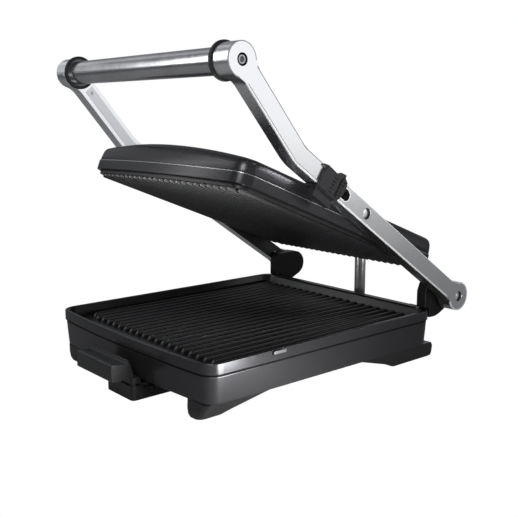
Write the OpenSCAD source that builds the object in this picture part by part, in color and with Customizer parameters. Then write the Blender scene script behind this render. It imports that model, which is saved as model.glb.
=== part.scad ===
// Electric indoor grill with a hinged lid, in millimetres.
// +X right, +Y back, +Z up; the floor is z = 0 and the origin lies under the middle of the grill.
// The lid hangs on a pair of arms and is drawn in its raised position.

/* [Base] */
// Width of the rim, side to side
rim_w = 318; // [280:1:360]
// Depth of the rim at its corners, front to back
rim_d = 363; // [320:1:400]
// How far the middle of the front edge bows forward
rim_bow = 5.5; // [0:0.5:12]
// Corner radius at the front
rim_r_front = 20; // [10:1:30]
// Corner radius at the rear
rim_r_rear = 22; // [10:1:30]
// Height of the rim's top edge above the floor
rim_top = 66; // [55:1:80]
// Height of the rim band
rim_h = 12.5; // [9:0.5:16]
// Wall of the rim band
rim_wall = 2.5; // [2:0.1:4]
// Height of the seam under the rim
seam_h = 1.2; // [0.8:0.1:2]
// Underside of the housing above the floor
housing_bottom = 21; // [18:1:26]
// How far the housing's foot is drawn in from its top
housing_draft = 2; // [0:0.5:6]
// Wall of the housing
housing_wall = 3; // [2:0.1:4]

/* [Feet] */
// Thickness of the rubber pads
pad_h = 1.4; // [1:0.1:3]
// Radius of the rubber pads
pad_r = 7.5; // [5:0.5:9]

/* [Cooking plates] */
// Depth of the lower plate's rib tops below the rim
lower_rib_drop = 8; // [5:0.5:12]
// Height of the lower ribs
lower_rib_h = 6; // [3:0.5:8]
// Distance of the outermost lower rib's middle from the rim's side
lower_rib_side = 23; // [18:0.5:30]
// Number of lower ribs
lower_ribs = 21; // [15:1:23]
// Distance of the outermost upper rib's middle from the lid's side
upper_rib_side = 15; // [12:0.5:22]
// Number of upper ribs
upper_ribs = 26; // [18:1:26]
// Height of the upper ribs
upper_rib_h = 5; // [3:0.5:7]
// Radius of the drain
drain_r = 4.5; // [3:0.5:6]
// Distance of the heating rods inside the rim's side
rod_in = 47; // [38:1:60]
// Radius of the rods' bends
rod_bend = 40; // [25:1:60]

/* [Hinge] */
// Distance of the hinge axis behind the rim
hinge_back = 31.3; // [26:0.1:40]
// Height of the hinge axis above the rim's top edge
hinge_up = 14.65; // [12:0.05:20]
// Radius of the hinge pin
hinge_pin_r = 5; // [4:0.1:6]
// Radius of the bracket's barrel
barrel_r = 19; // [14:0.5:21]
// Thickness of a bracket, across the grill
bracket_t = 14.6; // [10:0.1:18]
// Gap between bracket and arm, which the washer fills
washer_gap = 2.6; // [1.5:0.1:4]

/* [Arms] */
// Slope of the arms above the horizontal
arm_angle = 33.9; // [1.9:0.1:90]
// How far an arm's outer face stands out past the rim
arm_out = 13.2; // [8:0.1:20]
// Thickness of an arm, across the grill
arm_t = 19; // [14:0.5:22]
// Width of an arm's bar
arm_w = 21.5; // [18:0.5:26]
// Distance of the bar's middle below the line of the pivots
arm_low = 0.75; // [0:0.05:2]
// Distance from the lid's pivot to the bend
bend_run = 123.1; // [100:0.1:140]
// Angle of the bend
bend_a = 16.4; // [0:0.1:30]
// Radius of the bend's middle line
bend_r = 60; // [40:5:140]
// Distance from the bend to the handle's axis
grip_run = 119.6; // [90:0.1:150]
// Radius of the disc at the hinge
disc_r = 18.5; // [15:0.5:22]
// Radius of the boss at the handle
boss_r = 17.5; // [14:0.5:20]
// Length of the boss
boss_l = 24.7; // [20:0.1:30]
// Radius of the pivot pin
pivot_r = 4; // [3:0.1:5]
// Radius of the recess over a pin
recess_r = 6.5; // [5.5:0.1:8]
// Depth of the recess over a pin
recess_d = 6.2; // [3:0.1:8]
// Distance from the lid's pivot to the slot in the right arm
slot_run = 41.1; // [36:0.1:50]
// Distance between the slot's two end centres
slot_l = 32; // [20:0.5:40]
// Half the slot's width
slot_r = 6.3; // [4:0.1:7]
// Bevel along the outer lower edge
bevel_low = 2; // [0.5:0.1:3]
// Bevel along the inner upper edge
bevel_in = 5.5; // [2:0.1:7]

/* [Handle] */
// Radius of the handle tube
tube_r = 13.75; // [11:0.25:16]
// Wall of the handle tube
tube_wall = 1.5; // [1:0.1:3]
// Radius of the collars
collar_r = 19.8; // [16:0.1:22]
// Thickness of the collars
collar_t = 3.5; // [2:0.1:5]
// Radius of the well round a handle screw's head
screw_well_r = 6.3; // [5:0.1:8]
// Depth of that well
screw_well_d = 5.5; // [3:0.1:8]
// Radius of the screw's head
screw_head_r = 4.9; // [4:0.1:6]

/* [Lid] */
// Slope of the lid, falling towards the back
lid_tilt = 21.4; // [0:0.1:40]
// Gap between the lid's band and an arm
lid_gap = 2.2; // [1.5:0.1:4]
// How much shallower the lid is than the rim
lid_short = 24; // [16:0.5:32]
// Distance of the closed lid's front behind the rim's front
lid_back = 8.52; // [4:0.02:12]
// How far the middle of the lid's front edge bows forward
lid_bow = 6.5; // [0:0.5:12]
// Corner radius of the lid
lid_r = 20; // [10:1:30]
// Height of the band under the lid's seam
band_h = 12.5; // [9:0.5:16]
// How far the band stands out past the housing
band_out = 1; // [0:0.1:2]
// Depth of the upper rib tips below the seam
tip_drop = 20.5; // [16:0.5:24]
// How far the pivot lies in front of the lid's middle
lid_pivot_fore = 1.5; // [-10:0.5:10]
// Pivot height above the lid's seam
lid_pivot_z = 8; // [6:0.5:10]
// Height of the housing at the front corners
lid_h_front = 14.4; // [10:0.1:20]
// Extra height at the sides
lid_h_side = 5; // [0:0.5:8]
// Rise of the crown across the lid
lid_crown = 9.5; // [0:0.5:14]

/* [Drip tray] */
// Left and right side of the tray
tray_x0 = -12; // [-30:1:0]
tray_x1 = 44; // [30:1:60]
// How far the tray stands out in front of the rim's corners
tray_out = 18; // [13:1:25]
// Length of the tray
tray_l = 110; // [80:1:140]
// Wall of the tray
tray_wall = 1.8; // [1.2:0.1:3]
// Left and right end of the tray's handle
pull_x0 = -35.5; // [-50:0.5:-20]
pull_x1 = 42.2; // [30:0.1:60]
// How far the tray's handle stands out in front of the tray
pull_out = 24; // [16:1:30]
// Height of the tray's handle
pull_h = 19.8; // [14:0.2:22]

/* [Height clip] */
// Distance from the slot's rear end to the clip's
clip_run = 7; // [2:0.5:12]
// Length of the clip along the arm
clip_l = 39.5; // [34:0.5:44]
// Thickness of the clip's outer wall
clip_t = 2.5; // [2:0.1:3]
// Height of the raised panel, thumb pad and teeth on it
clip_pad = 1.3; // [0.5:0.1:2]
// How far the finger block hangs below the bar
clip_drop = 13; // [8:0.5:14]

/* [Cables] */
// Radius of each cable
cable_r = 4; // [3:0.1:4.5]
// Middle of the pair, to the right of the grill's middle
cable_x = 9; // [-20:1:20]
// Half the distance between the two
cable_half = 5; // [4.2:0.1:8]
// Radius of a cable's bend behind the lid
cable_bend = 18; // [9:1:24]

/* [Hidden] */
$fn = 48;
e = 0.01;
seat = 0.3;
fit = 0.05;
hw = rim_w / 2;
rim_y0 = -185;
rim_y1 = rim_y0 + rim_d;
rim_mid = (rim_y0 + rim_y1) / 2;
hinge_y = rim_y1 + hinge_back;
hinge_z = rim_top + hinge_up;
rim_bot = rim_top - rim_h;
h_top = rim_bot - seam_h;
rib_top = rim_top - lower_rib_drop;
plate_floor = rib_top - lower_rib_h;
arm_x = hw + arm_out;
arm_in = arm_x - arm_t;
bracket_x1 = arm_in - washer_gap;
bracket_x0 = bracket_x1 - bracket_t;
lid_w = 2 * (arm_in - lid_gap - band_out);
lid_d = rim_d - lid_short;
lid_pivot_y = lid_d / 2 - lid_pivot_fore;
// the closed lid lies level, with its pivot this high
closed_z = rim_top + 22;
pivot_s = norm([hinge_y - rim_y0 - lid_back - lid_pivot_y, closed_z - hinge_z]);
bend_s = pivot_s + bend_run;
grip_s = bend_s + grip_run * cos(bend_a);
grip_p = grip_run * sin(bend_a) - arm_low;
slot_s0 = pivot_s + slot_run;
slot_s1 = slot_s0 + slot_l;
clip_s0 = slot_s0 + clip_run;
clip_s1 = clip_s0 + clip_l;
pivot_y = hinge_y - pivot_s * cos(arm_angle);
pivot_z = hinge_z + pivot_s * sin(arm_angle);
grip_x = arm_x - boss_l;
bend_t = bend_r * tan(bend_a / 2);
bar_hw = arm_w / 2;
lower_rib_pitch = (rim_w - 2 * lower_rib_side) / (lower_ribs - 1);
upper_rib_pitch = (lid_w - 2 * upper_rib_side) / (upper_ribs - 1);
up_len = grip_run - 3.3 - bend_t;
tray_top = housing_bottom - 1;
tray_front = rim_y0 - tray_out;
pull_front = tray_front - pull_out;
pull_z = housing_bottom + 6;
rail_z = housing_bottom - 7;
band_hw = lid_w / 2 + band_out;
plate_top = -tip_drop + upper_rib_h;

// ---------- outlines ----------

// Round-cornered outline with a front edge that bows forward.
function outline(w, yf, yr, bow, rf, rr, n = 8, m = 10) =
    let (sl = atan(2 * bow / (w - rf)), cx = w - rf, cy = yf + rf * cos(sl), px = cx + rf * sin(sl))
    concat(
        [for (i = [0:m]) let (x = px * (2 * i / m - 1)) [x, yf - bow * (1 - x * x / px / px)]],
        [for (i = [1:n]) let (a = sl - 90 + (90 - sl) * i / n) [cx + rf * cos(a), cy + rf * sin(a)]],
        [for (i = [0:n]) let (a = 90 * i / n) [w - rr + rr * cos(a), yr - rr + rr * sin(a)]],
        [for (i = [0:n]) let (a = 90 + 90 * i / n) [rr - w + rr * cos(a), yr - rr + rr * sin(a)]],
        [for (i = [0:n - 1]) let (a = 180 + (90 - sl) * i / n) [rf * cos(a) - cx, cy + rf * sin(a)]]
    );

// Base outline drawn in by i, with an extra j at the rear.
function base_ring(i, j = 0) =
    outline(hw - i, rim_y0 + i, rim_y1 - i - j, rim_bow,
        max(rim_r_front - i, 3), max(rim_r_rear - i - j / 2, 3));

// Lid outline drawn in by i, in the lid's own coordinates.
function lid_ring(i) =
    outline(lid_w / 2 - i, i, lid_d - i, lid_bow, max(lid_r - i, 2), max(lid_r - i, 2));

// A ring of points lifted to one height.
function lift(ring, z) = [for (p = ring) [p[0], p[1], z]];

// Height of the lid's top over the seam.
function lid_side(y) = lid_h_front + lid_h_side * sin(90 * min(1, max(0, y) / 130));
function lid_sag(y) = lid_crown * (1 - 0.55 * min(1, max(0, y) / lid_d));
function lid_edge(x, y) = lid_side(y) + lid_sag(y) * (1 - pow(x / (lid_w / 2), 2));
function lid_tail(y) = let (u = (y - lid_d + 39) / 39) u > 0 ? 3 * u * u : 0;
function lid_top(x, y) = lid_edge(x, y) - lid_tail(y);
function lid_lift(ring, f, g) = [for (p = ring) [p[0], p[1], f * lid_top(p[0], p[1]) + g]];

// Closed skin over rings of equal count, with a fan to one point at the top.
module skin(rings, top) {
    n = len(rings[0]);
    m = len(rings);
    polyhedron(
        points = concat([for (r = rings) each r], [top]),
        faces = concat(
            [[for (i = [0:n - 1]) i]],
            [for (k = [0:m - 2], i = [0:n - 1]) [k * n + i, (k + 1) * n + i, (k + 1) * n + (i + 1) % n]],
            [for (k = [0:m - 2], i = [0:n - 1]) [k * n + i, (k + 1) * n + (i + 1) % n, k * n + (i + 1) % n]],
            [for (i = [0:n - 1]) [(m - 1) * n + i, m * n, (m - 1) * n + (i + 1) % n]]
        )
    );
}

// Flat slab of an outline between two heights.
module slab(ring, z0, z1) {
    translate([0, 0, z0]) linear_extrude(z1 - z0) polygon(ring);
}

// Frustum between two outlines.
module taper(ring0, z0, ring1, z1) {
    skin([lift(ring0, z0), lift(ring1, z1)], [0, 0, z1]);
}

// Box from two corners.
module box(a, b) {
    translate(a) cube(b - a);
}

// Cylinder along X from x0 to x1.
module rod_x(x0, x1, r, y = 0, z = 0) {
    translate([x0, y, z]) rotate([0, 90, 0]) cylinder(h = x1 - x0, r = r);
}

// Both sides: the right one and its mirror image.
module pair() {
    children();
    mirror([1, 0, 0]) children();
}

// Profile in (y, z) drawn out along X.
module side_profile(pts, x0, x1) {
    translate([x0, 0, 0]) rotate([90, 0, 90]) linear_extrude(x1 - x0) polygon(pts);
}

// Profile in (x, z) drawn out along Y.
module front_profile(pts, y0, y1) {
    translate([0, y1, 0]) rotate([90, 0, 0]) linear_extrude(y1 - y0) polygon(pts);
}

// ---------- base ----------

post_xy = [[hw - 13, rim_y0 + 35], [hw - 12, rim_mid + 3.5], [hw - 13, rim_y1 - 30]];
post_r = 4.2;
post_top = plate_floor - 3 - 2 * seat;

module posts(z0, z1, r) {
    for (p = post_xy, s = [-1, 1]) {
        translate([s * p[0], p[1], z0]) cylinder(h = z1 - z0, r = r);
    }
}

module base_housing() {
    color([0.13, 0.13, 0.14])
    difference() {
        union() {
            skin([
                lift(base_ring(5.5), housing_bottom),
                lift(base_ring(3.5), housing_bottom + 2.2),
                lift(base_ring(1.5), h_top - 1),
                lift(base_ring(2), h_top)
            ], [0, 0, h_top]);
            slab(base_ring(3), h_top - 1, rim_bot - seat);
        }
        slab(base_ring(3.5 + housing_wall), housing_bottom + housing_wall, rim_bot + 1);
        posts(housing_bottom - 1, housing_bottom + 10, 2.2);
        posts(housing_bottom - 1, housing_bottom + 1.4, 4);
        translate([spout_x, spout_y, housing_bottom - 1]) cylinder(h = 10, r = drain_r + 3);
        for (s = [-1, 1]) {
            rod_y(cable_x + s * cable_half, rim_y1 - 20, rim_y1 + 5, cable_end_z, cable_r + seat);
        }
        // air slots under the housing
        for (i = [-3:3]) {
            box([i * vent_pitch - vent_w / 2, rim_y1 - 138, housing_bottom - 1],
                [i * vent_pitch + vent_w / 2, rim_y1 - 68, housing_bottom + 10]);
        }
    }
}

vent_pitch = 14;
vent_w = 5;
spout_x = 15;
spout_y = rim_y0 + 23;
cable_end_z = housing_bottom + 16;

module rod_y(x, y0, y1, z, r) {
    translate([x, y1, z]) rotate([90, 0, 0]) cylinder(h = y1 - y0, r = r);
}

// Webs that join the posts to the rim's ledge, between the plate and the housing's wall.
module post_webs() {
    pair() for (p = post_xy) {
        box([p[0], p[1] - 5, 36], [hw - 7.2, p[1] + 5, post_top]);
        box([hw - rim_wall - 7, p[1] - 5, 36], [hw - 7.2, p[1] + 5, rim_bot + 1]);
    }
}

module base_rim() {
    color([0.16, 0.16, 0.17])
    difference() {
        union() {
            difference() {
                union() {
                    slab(base_ring(0), rim_bot, rim_top - 0.8);
                    slab(base_ring(0.6), rim_top - 1, rim_top);
                }
                slab(base_ring(rim_wall), rib_top - seat, rim_top + 1);
                slab(base_ring(rim_wall + 7), rim_bot - 1, rim_top);
            }
            posts(housing_bottom + housing_wall + seat, post_top, post_r);
            post_webs();
        }
        posts(housing_bottom, post_top - 1, 1.7);
        box([hw - 3.4, clip_y0 - seat, rim_top - 5], [hw + 1, clip_y1 + seat, rim_top + 1]);
        bracket_screw_holes(1.6);
    }
}

clip_y0 = rim_y0 + 85;
clip_y1 = clip_y0 + 18;

module rib_comb(n, pitch, root, tip, h) {
    for (i = [0:n - 1]) {
        x = (i - (n - 1) / 2) * pitch;
        polygon([[x - root / 2, -e], [x + root / 2, -e], [x + tip / 2, h], [x - tip / 2, h]]);
    }
}

basin_rear = 7;
splash_top = 4.5;

module lower_plate() {
    color([0.1, 0.1, 0.105])
    difference() {
        union() {
            slab(base_ring(rim_wall + seat), rib_top, rim_top - seat);
            slab(base_ring(rim_wall + 7 + seat), plate_floor - 3, rib_top + e);
            // raised lip along the rear
            box([24 - hw, rim_y1 - 12, rim_top - 1], [hw - 24, rim_y1 - 7.8, rim_top + 1]);
            translate([spout_x, spout_y, tray_top + 0.6])
                cylinder(h = plate_floor - tray_top - 2, r = drain_r + 2);
        }
        difference() {
            taper(base_ring(10.5, basin_rear), plate_floor, base_ring(4, basin_rear), rim_top + 3);
            // ribs, from behind the gutter to the rear wall
            translate([0, rim_y1 - 5, plate_floor - e]) rotate([90, 0, 0])
                linear_extrude(rim_d - 38) rib_comb(lower_ribs, lower_rib_pitch, 7, 4, lower_rib_h);
        }
        // gutter along the front
        box([21 - hw, rim_y0 + 12, plate_floor - 1.5], [hw - 21, rim_y0 + 30, plate_floor + e]);
        translate([spout_x, spout_y, housing_bottom - 5]) cylinder(h = 60, r = drain_r);
    }
}

// Heating rod bent to a U that opens towards the front.
module heating_rod(x, y0, y1, z, r, bend) {
    translate([0, 0, z]) {
        for (s = [-1, 1]) {
            rod_y(s * x, y0, y1 - bend, 0, r);
        }
        rod_x(bend - x, x - bend, r, y1, 0);
        translate([x - bend, y1 - bend, 0]) rotate_extrude(angle = 90) translate([bend, 0]) circle(r);
        mirror([1, 0, 0]) translate([x - bend, y1 - bend, 0])
            rotate_extrude(angle = 90) translate([bend, 0]) circle(r);
    }
}

module lower_element() {
    color([0.35, 0.33, 0.31])
    heating_rod(hw - rod_in, rim_y0 + rod_in + 18, rim_y1 - rod_in - 3,
        plate_floor - 3 - seat - 3.6, 3.5, rod_bend);
}

module lower_reflector() {
    color([0.72, 0.72, 0.72])
    difference() {
        slab(base_ring(20), reflector_z, reflector_z + 1);
        translate([spout_x, spout_y, reflector_z - 4]) cylinder(h = 10, r = drain_r + 3);
        box([-30, thermo_y - 25, reflector_z - 4], [30, thermo_y + 25, reflector_z + 6]);
    }
    // turned-up edge
    color([0.72, 0.72, 0.72])
    difference() {
        slab(base_ring(20), reflector_z + 1 - e, reflector_z + 9);
        slab(base_ring(21), reflector_z - 1, reflector_z + 10);
    }
}

reflector_z = housing_bottom + 13;
thermo_y = rim_mid - 31.5;
thermo_top = plate_floor - 8;

module thermostat() {
    color([0.55, 0.5, 0.42]) {
        box([-24, thermo_y - 19, thermo_top - 18], [24, thermo_y + 19, thermo_top]);
        translate([0, thermo_y, thermo_top - e]) cylinder(h = plate_floor - 3 - seat - thermo_top, r = 9);
    }
}

// Right feet, in (y, z) from a corner of the rim and in (x, z) from its side; left ones are mirrored.
module foot(corner_y, side_pts, front_pts) {
    translate([hw, corner_y, 0]) intersection() {
        side_profile(side_pts, -60, 10);
        front_profile(front_pts, -140, 120);
    }
}

module foot_front() {
    zt = housing_bottom - seat;
    foot(
        rim_y0,
        [[4, zt], [1.5, 12], [1, 6], [2.5, 2.4], [6, pad_h], [29, pad_h], [33, 2.4], [45, 6.5], [100, zt]],
        [[-47, zt], [-42, 5], [-40, 2.6], [-38, pad_h], [-25, pad_h], [-22, 2.4], [-20, 5.5], [-9, zt]]
    );
}

module foot_rear() {
    zt = housing_bottom - seat;
    foot(
        rim_y1,
        [[-131, zt], [-78, 6], [-72, 2.6], [-68, pad_h], [5, pad_h], [8, 3], [9.5, 6], [9.5, zt - 5.7],
            [7, zt - 1.7], [2, zt]],
        [[-41, zt], [-37, 5], [-35, 2.6], [-33, pad_h], [-13, pad_h], [-9.5, 2.4], [-7.5, 6], [-6, zt]]
    );
}

module foot_colour() {
    color([0.11, 0.11, 0.115]) children();
}

module foot_front_right() {
    foot_colour() foot_front();
}

module foot_front_left() {
    foot_colour() mirror([1, 0, 0]) foot_front();
}

module foot_rear_right() {
    foot_colour() foot_rear();
}

module foot_rear_left() {
    foot_colour() mirror([1, 0, 0]) foot_rear();
}

module foot_pads() {
    color([0.05, 0.05, 0.05])
    pair() {
        translate([hw - 31.5, rim_y0 + 17, 0]) cylinder(h = pad_h - 0.05, r = pad_r - 1.5);
        translate([hw - 23, rim_y1 - 12, 0]) cylinder(h = pad_h - 0.05, r = pad_r);
        translate([hw - 23, rim_y1 - 56, 0]) cylinder(h = pad_h - 0.05, r = pad_r);
    }
}

module bracket_screw_holes(r) {
    for (s = [-1, 1], x = bracket_screw_x) {
        rod_y(s * x, rim_y1 - 9, rim_y1 + 12, bracket_screw_z, r);
    }
}

bracket_screw_x = [bracket_x0 - 14, bracket_x0 - 5];
bracket_screw_z = rim_bot + 2.1;
// closed end of the pin's bore in a bracket
pin_x = bracket_x0 + 2.6;

module hinge_bracket() {
    difference() {
        union() {
            rod_x(bracket_x0, bracket_x1, barrel_r, hinge_y, hinge_z);
            // post in front of the barrel, standing on the rim
            side_profile([[rim_y1 - 9, rim_bot - 0.5], [rim_y1 + 13, rim_bot - 0.5], [rim_y1 + 22, rim_bot + 2],
                [hinge_y + 8, hinge_z - barrel_r + 2], [hinge_y, hinge_z + barrel_r],
                [hinge_y - 33, hinge_z + barrel_r], [hinge_y - 35.6, hinge_z + barrel_r - 0.8],
                [rim_y1 - 9, rim_top + 22]], bracket_x0, bracket_x1);
            // foot plate on the rim's rear face
            side_profile([[rim_y1 - 9, rim_bot - 0.5], [rim_y1 + 4.5, rim_bot - 0.5],
                [rim_y1 + 4.5, rim_top - 2], [rim_y1 + 3, rim_top - 0.5], [rim_y1 - 9, rim_top - 0.5]],
                bracket_x0 - 19, bracket_x1);
        }
        // cleared for the base
        slab(base_ring(-seat), housing_bottom + 2, rim_top + seat);
        rod_x(pin_x, bracket_x1 + 1, hinge_pin_r + fit, hinge_y, hinge_z);
        bracket_screw_holes(1.9);
    }
}

module hinge_bracket_right() {
    color([0.09, 0.09, 0.095]) hinge_bracket();
}

module hinge_bracket_left() {
    color([0.09, 0.09, 0.095]) mirror([1, 0, 0]) hinge_bracket();
}

module hinge_pins() {
    color([0.82, 0.82, 0.84])
    pair() {
        rod_x(pin_x + seat, arm_x - recess_d + seat + e, hinge_pin_r, hinge_y, hinge_z);
        rod_x(arm_x - recess_d + seat, arm_x - recess_d + 2, recess_r - seat, hinge_y, hinge_z);
    }
}

module hinge_washers() {
    color([0.75, 0.75, 0.76])
    pair() {
        difference() {
            rod_x(bracket_x1 + seat, arm_in - seat, 12, hinge_y, hinge_z);
            rod_x(bracket_x1, arm_in, hinge_pin_r + seat, hinge_y, hinge_z);
        }
    }
}

// Two channels that carry the tray's flanges.
module tray_rails() {
    zt = housing_bottom - seat;
    y0 = rim_y0 + 7;
    y1 = y0 + tray_l - 12;
    color([0.11, 0.11, 0.115]) {
        front_profile([[tray_x0 - 7, zt], [tray_x0 - 7, rail_z - 2], [tray_x0 - 1, rail_z - 2],
            [tray_x0 - 1, rail_z - seat], [tray_x0 - 5, rail_z - seat], [tray_x0 - 5, zt]], y0, y1);
        front_profile([[tray_x1 + 7, zt], [tray_x1 + 5, zt], [tray_x1 + 5, rail_z - seat],
            [tray_x1 + 1, rail_z - seat], [tray_x1 + 1, rail_z - 2], [tray_x1 + 7, rail_z - 2]], y0, y1);
        // stop across the rear
        box([tray_x0 - 7, y1 - e, rail_z - 2], [tray_x1 + 7, y1 + 2, zt]);
    }
}

module plate_clip() {
    color([0.8, 0.8, 0.8]) {
        box([hw - 2.5, clip_y0, rim_top - 4.6], [hw + 2.4, clip_y1, rim_top - 3.2]);
        box([hw - 2.5, clip_y0, rim_top - 4.6], [hw - 1.3, clip_y1, rim_top - 0.4]);
        box([hw + 1.4, clip_y0 + 1.5, rim_top - 4.6], [hw + 2.4, clip_y1 - 1.5, rim_top - 0.8]);
    }
}

module base_screws() {
    color([0.6, 0.6, 0.6]) {
        posts(housing_bottom + 0.2, housing_bottom + 1.4 - e, 3.6);
        posts(housing_bottom + 1.3, post_top - 2, 1.6);
        for (s = [-1, 1], x = bracket_screw_x) {
            rod_y(s * x, rim_y1 - 8, rim_y1 + 5, bracket_screw_z, 1.5);
            rod_y(s * x, rim_y1 + 4.5 + seat, rim_y1 + 6.5, bracket_screw_z, 3);
        }
    }
}

// ---------- arms ----------
// Arm coordinates: x runs from the hinge towards the handle, y across the bar, z is minus X.

module arm_place() {
    translate([0, hinge_y, hinge_z]) rotate([-arm_angle, 0, 0]) rotate([90, 0, -90]) children();
}

// Profile (y, z) drawn out along the bar from s0 to s1, before the bend.
module along_low(pts, s0, s1) {
    translate([s0, -arm_low, 0]) rotate([90, 0, 90]) linear_extrude(s1 - s0) polygon(pts);
}

// The same after the bend, from u0 to u1 past its end.
module along_up(pts, u0, u1) {
    translate([bend_s - bend_t, bend_r - arm_low, 0]) rotate([0, 0, bend_a])
        translate([u0, -bend_r, 0]) rotate([90, 0, 90]) linear_extrude(u1 - u0) polygon(pts);
}

// The same round the bend.
module along_bend(pts) {
    translate([bend_s - bend_t, bend_r - arm_low, 0]) rotate([0, 0, -90])
        rotate_extrude(angle = bend_a, $fn = 180) polygon([for (p = pts) [bend_r - p[0], p[1]]]);
}

// Section of the right bar with its bevels, drawn in by i.
function arm_section(i = 0) = let (h = bar_hw - i, xo = i - arm_x, xi = -arm_in - i) [
    [-h, xo + bevel_low], [bevel_low - h, xo], [h - 1, xo], [h, xo + 1],
    [h, xi - bevel_in], [h - bevel_in, xi], [1 - h, xi], [-h, xi - 1]
];

// Rectangle in the same coordinates, from X = x0 to X = x1.
function flat(half, x0, x1) = [[-half, -x1], [half, -x1], [half, -x0], [-half, -x0]];

module arm_hole(s, p, r, x0, x1) {
    translate([s, p, -x1]) cylinder(h = x1 - x0, r = r);
}

cover_hw = 6;
cover_t = 1.2;
cover_s0 = 27;

// Points beside the bar's middle line, from s0 to the bend and on to u1 past it.
function beside(off, s0, u1, n = 10) =
    let (c = [bend_s - bend_t, bend_r - arm_low], r = bend_r - off)
    concat(
        s0 < bend_s - bend_t ? [[s0, off - arm_low]] : [],
        [for (i = [0:n]) let (a = bend_a * i / n) c + r * [sin(a), -cos(a)]],
        [c + r * [sin(bend_a), -cos(bend_a)] + u1 * [cos(bend_a), sin(bend_a)]]
    );
function turned(pts) = [for (i = [len(pts) - 1:-1:0]) pts[i]];

// A cover or its recess, in two lengths with the pivot and the slot between them.
module cover_path(half, x0, x1, grow) {
    along_low(flat(half, x0, x1), cover_s0 - grow, pivot_s - 12 + grow);
    translate([0, 0, -x1]) linear_extrude(x1 - x0) polygon(concat(
        beside(-half, pivot_s + 92 - grow, up_len - 22 + grow),
        turned(beside(half, pivot_s + 92 - grow, up_len - 22 + grow))
    ));
}

module arm_body() {
    difference() {
        union() {
            // the bend is a hair thinner, and the straight lengths reach a little into it
            along_low(arm_section(), 2, bend_s - bend_t + 0.5);
            along_bend(arm_section(0.03));
            along_up(arm_section(), -0.5, up_len);
            arm_hole(0, 0, disc_r, arm_in, arm_x - 1.6);
            translate([0, 0, -arm_x]) cylinder(h = 1.6 + e, r1 = disc_r - 1.6, r2 = disc_r);
            arm_hole(grip_s, grip_p, boss_r, grip_x + 0.8, arm_x - 1.2);
            translate([grip_s, grip_p, -arm_x]) cylinder(h = 1.2 + e, r1 = boss_r - 1.2, r2 = boss_r);
            translate([grip_s, grip_p, -grip_x - 0.8 - e])
                cylinder(h = 0.8 + e, r1 = boss_r, r2 = boss_r - 0.8);
            corners();
        }
        // hinge bore and recess
        arm_hole(0, 0, hinge_pin_r + fit, arm_in - 1, arm_x);
        arm_hole(0, 0, recess_r, arm_x - recess_d, arm_x + 1);
        // pivot bore and recess
        arm_hole(pivot_s, 0, pivot_r + fit, arm_in - 1, arm_x);
        arm_hole(pivot_s, 0, recess_r, arm_x - recess_d, arm_x + 1);
        // handle screw
        arm_hole(grip_s, grip_p, 3.2, grip_x - 1, arm_x);
        arm_hole(grip_s, grip_p, screw_well_r, arm_x - screw_well_d, arm_x + 1);
        // cover recess and the hollow behind it
        cover_path(cover_hw + seat, arm_in - 1, arm_in + cover_t + 0.5, seat);
        along_low(flat(4, arm_in, arm_in + 13), cover_s0 + 12, pivot_s - 24);
        along_up(flat(4, arm_in, arm_in + 13), 10, up_len - 34);
        cover_screw_spots(1.6, arm_in, arm_in + 9);
    }
}

// Concave corner between a bar's edge at distance h and a disc of radius r round the origin.
module corner(h, r, x0, x1) {
    f = 25;
    // the curve runs a little into the disc and the bar at its ends
    sink = 0.15;
    rs = r - sink;
    hs = h - sink;
    c = sqrt(pow(rs + f, 2) - pow(hs + f, 2));
    translate([0, 0, -x1]) linear_extrude(x1 - x0) difference() {
        polygon([[2, 2], [c * rs / (rs + f), (hs + f) * rs / (rs + f)], [c, hs], [c, 2]]);
        translate([c, hs + f]) circle(f);
    }
}

// Both corners at the hinge and both at the boss.
module corners() {
    corner(bar_hw - arm_low, disc_r, arm_in + bevel_in + 0.6, arm_x - 2.2);
    mirror([0, 1, 0]) corner(bar_hw + arm_low, disc_r, arm_in + 1.6, arm_x - bevel_low - 0.5);
    translate([grip_s, grip_p, 0]) rotate([0, 0, bend_a + 180]) {
        corner(bar_hw, boss_r, arm_in + 1.6, arm_x - 2.2);
        mirror([0, 1, 0]) corner(bar_hw, boss_r, arm_in + bevel_in + 0.6, arm_x - bevel_low - 0.5);
    }
}

// Places of the cover's screws along the arm.
module cover_screw_spots(r, x0, x1) {
    arm_hole(cover_s0 + 6, -arm_low, r, x0, x1);
    arm_hole(pivot_s - 18, -arm_low, r, x0, x1);
    arm_hole(pivot_s + 98, -arm_low, r, x0, x1);
    translate([bend_s - bend_t, bend_r - arm_low, 0]) rotate([0, 0, bend_a])
        translate([up_len - 28, -bend_r, -x1]) cylinder(h = x1 - x0, r = r);
}

module arm_right() {
    color([0.72, 0.73, 0.75])
    arm_place() difference() {
        arm_body();
        // slot for the height clip
        arm_hole(slot_s0, 0, slot_r, arm_in - 1, arm_x + 1);
        arm_hole(slot_s1, 0, slot_r, arm_in - 1, arm_x + 1);
        translate([slot_s0, -slot_r, -arm_x - 1]) cube([slot_s1 - slot_s0, 2 * slot_r, arm_t + 2]);
    }
}

module arm_left() {
    color([0.72, 0.73, 0.75]) mirror([1, 0, 0]) arm_place() arm_body();
}

module arm_cover() {
    arm_place() difference() {
        cover_path(cover_hw, arm_in + 0.2, arm_in + 0.2 + cover_t, 0);
        cover_screw_spots(2.5, arm_in, arm_in + 2);
    }
}

module arm_cover_right() {
    color([0.6, 0.61, 0.63]) arm_cover();
}

module arm_cover_left() {
    color([0.6, 0.61, 0.63]) mirror([1, 0, 0]) arm_cover();
}

module cover_screws() {
    color([0.5, 0.5, 0.5])
    pair() arm_place() {
        cover_screw_spots(2.2, arm_in + 0.3, arm_in + 1.5);
        cover_screw_spots(1.5, arm_in + 1.4, arm_in + 8);
    }
}

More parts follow.
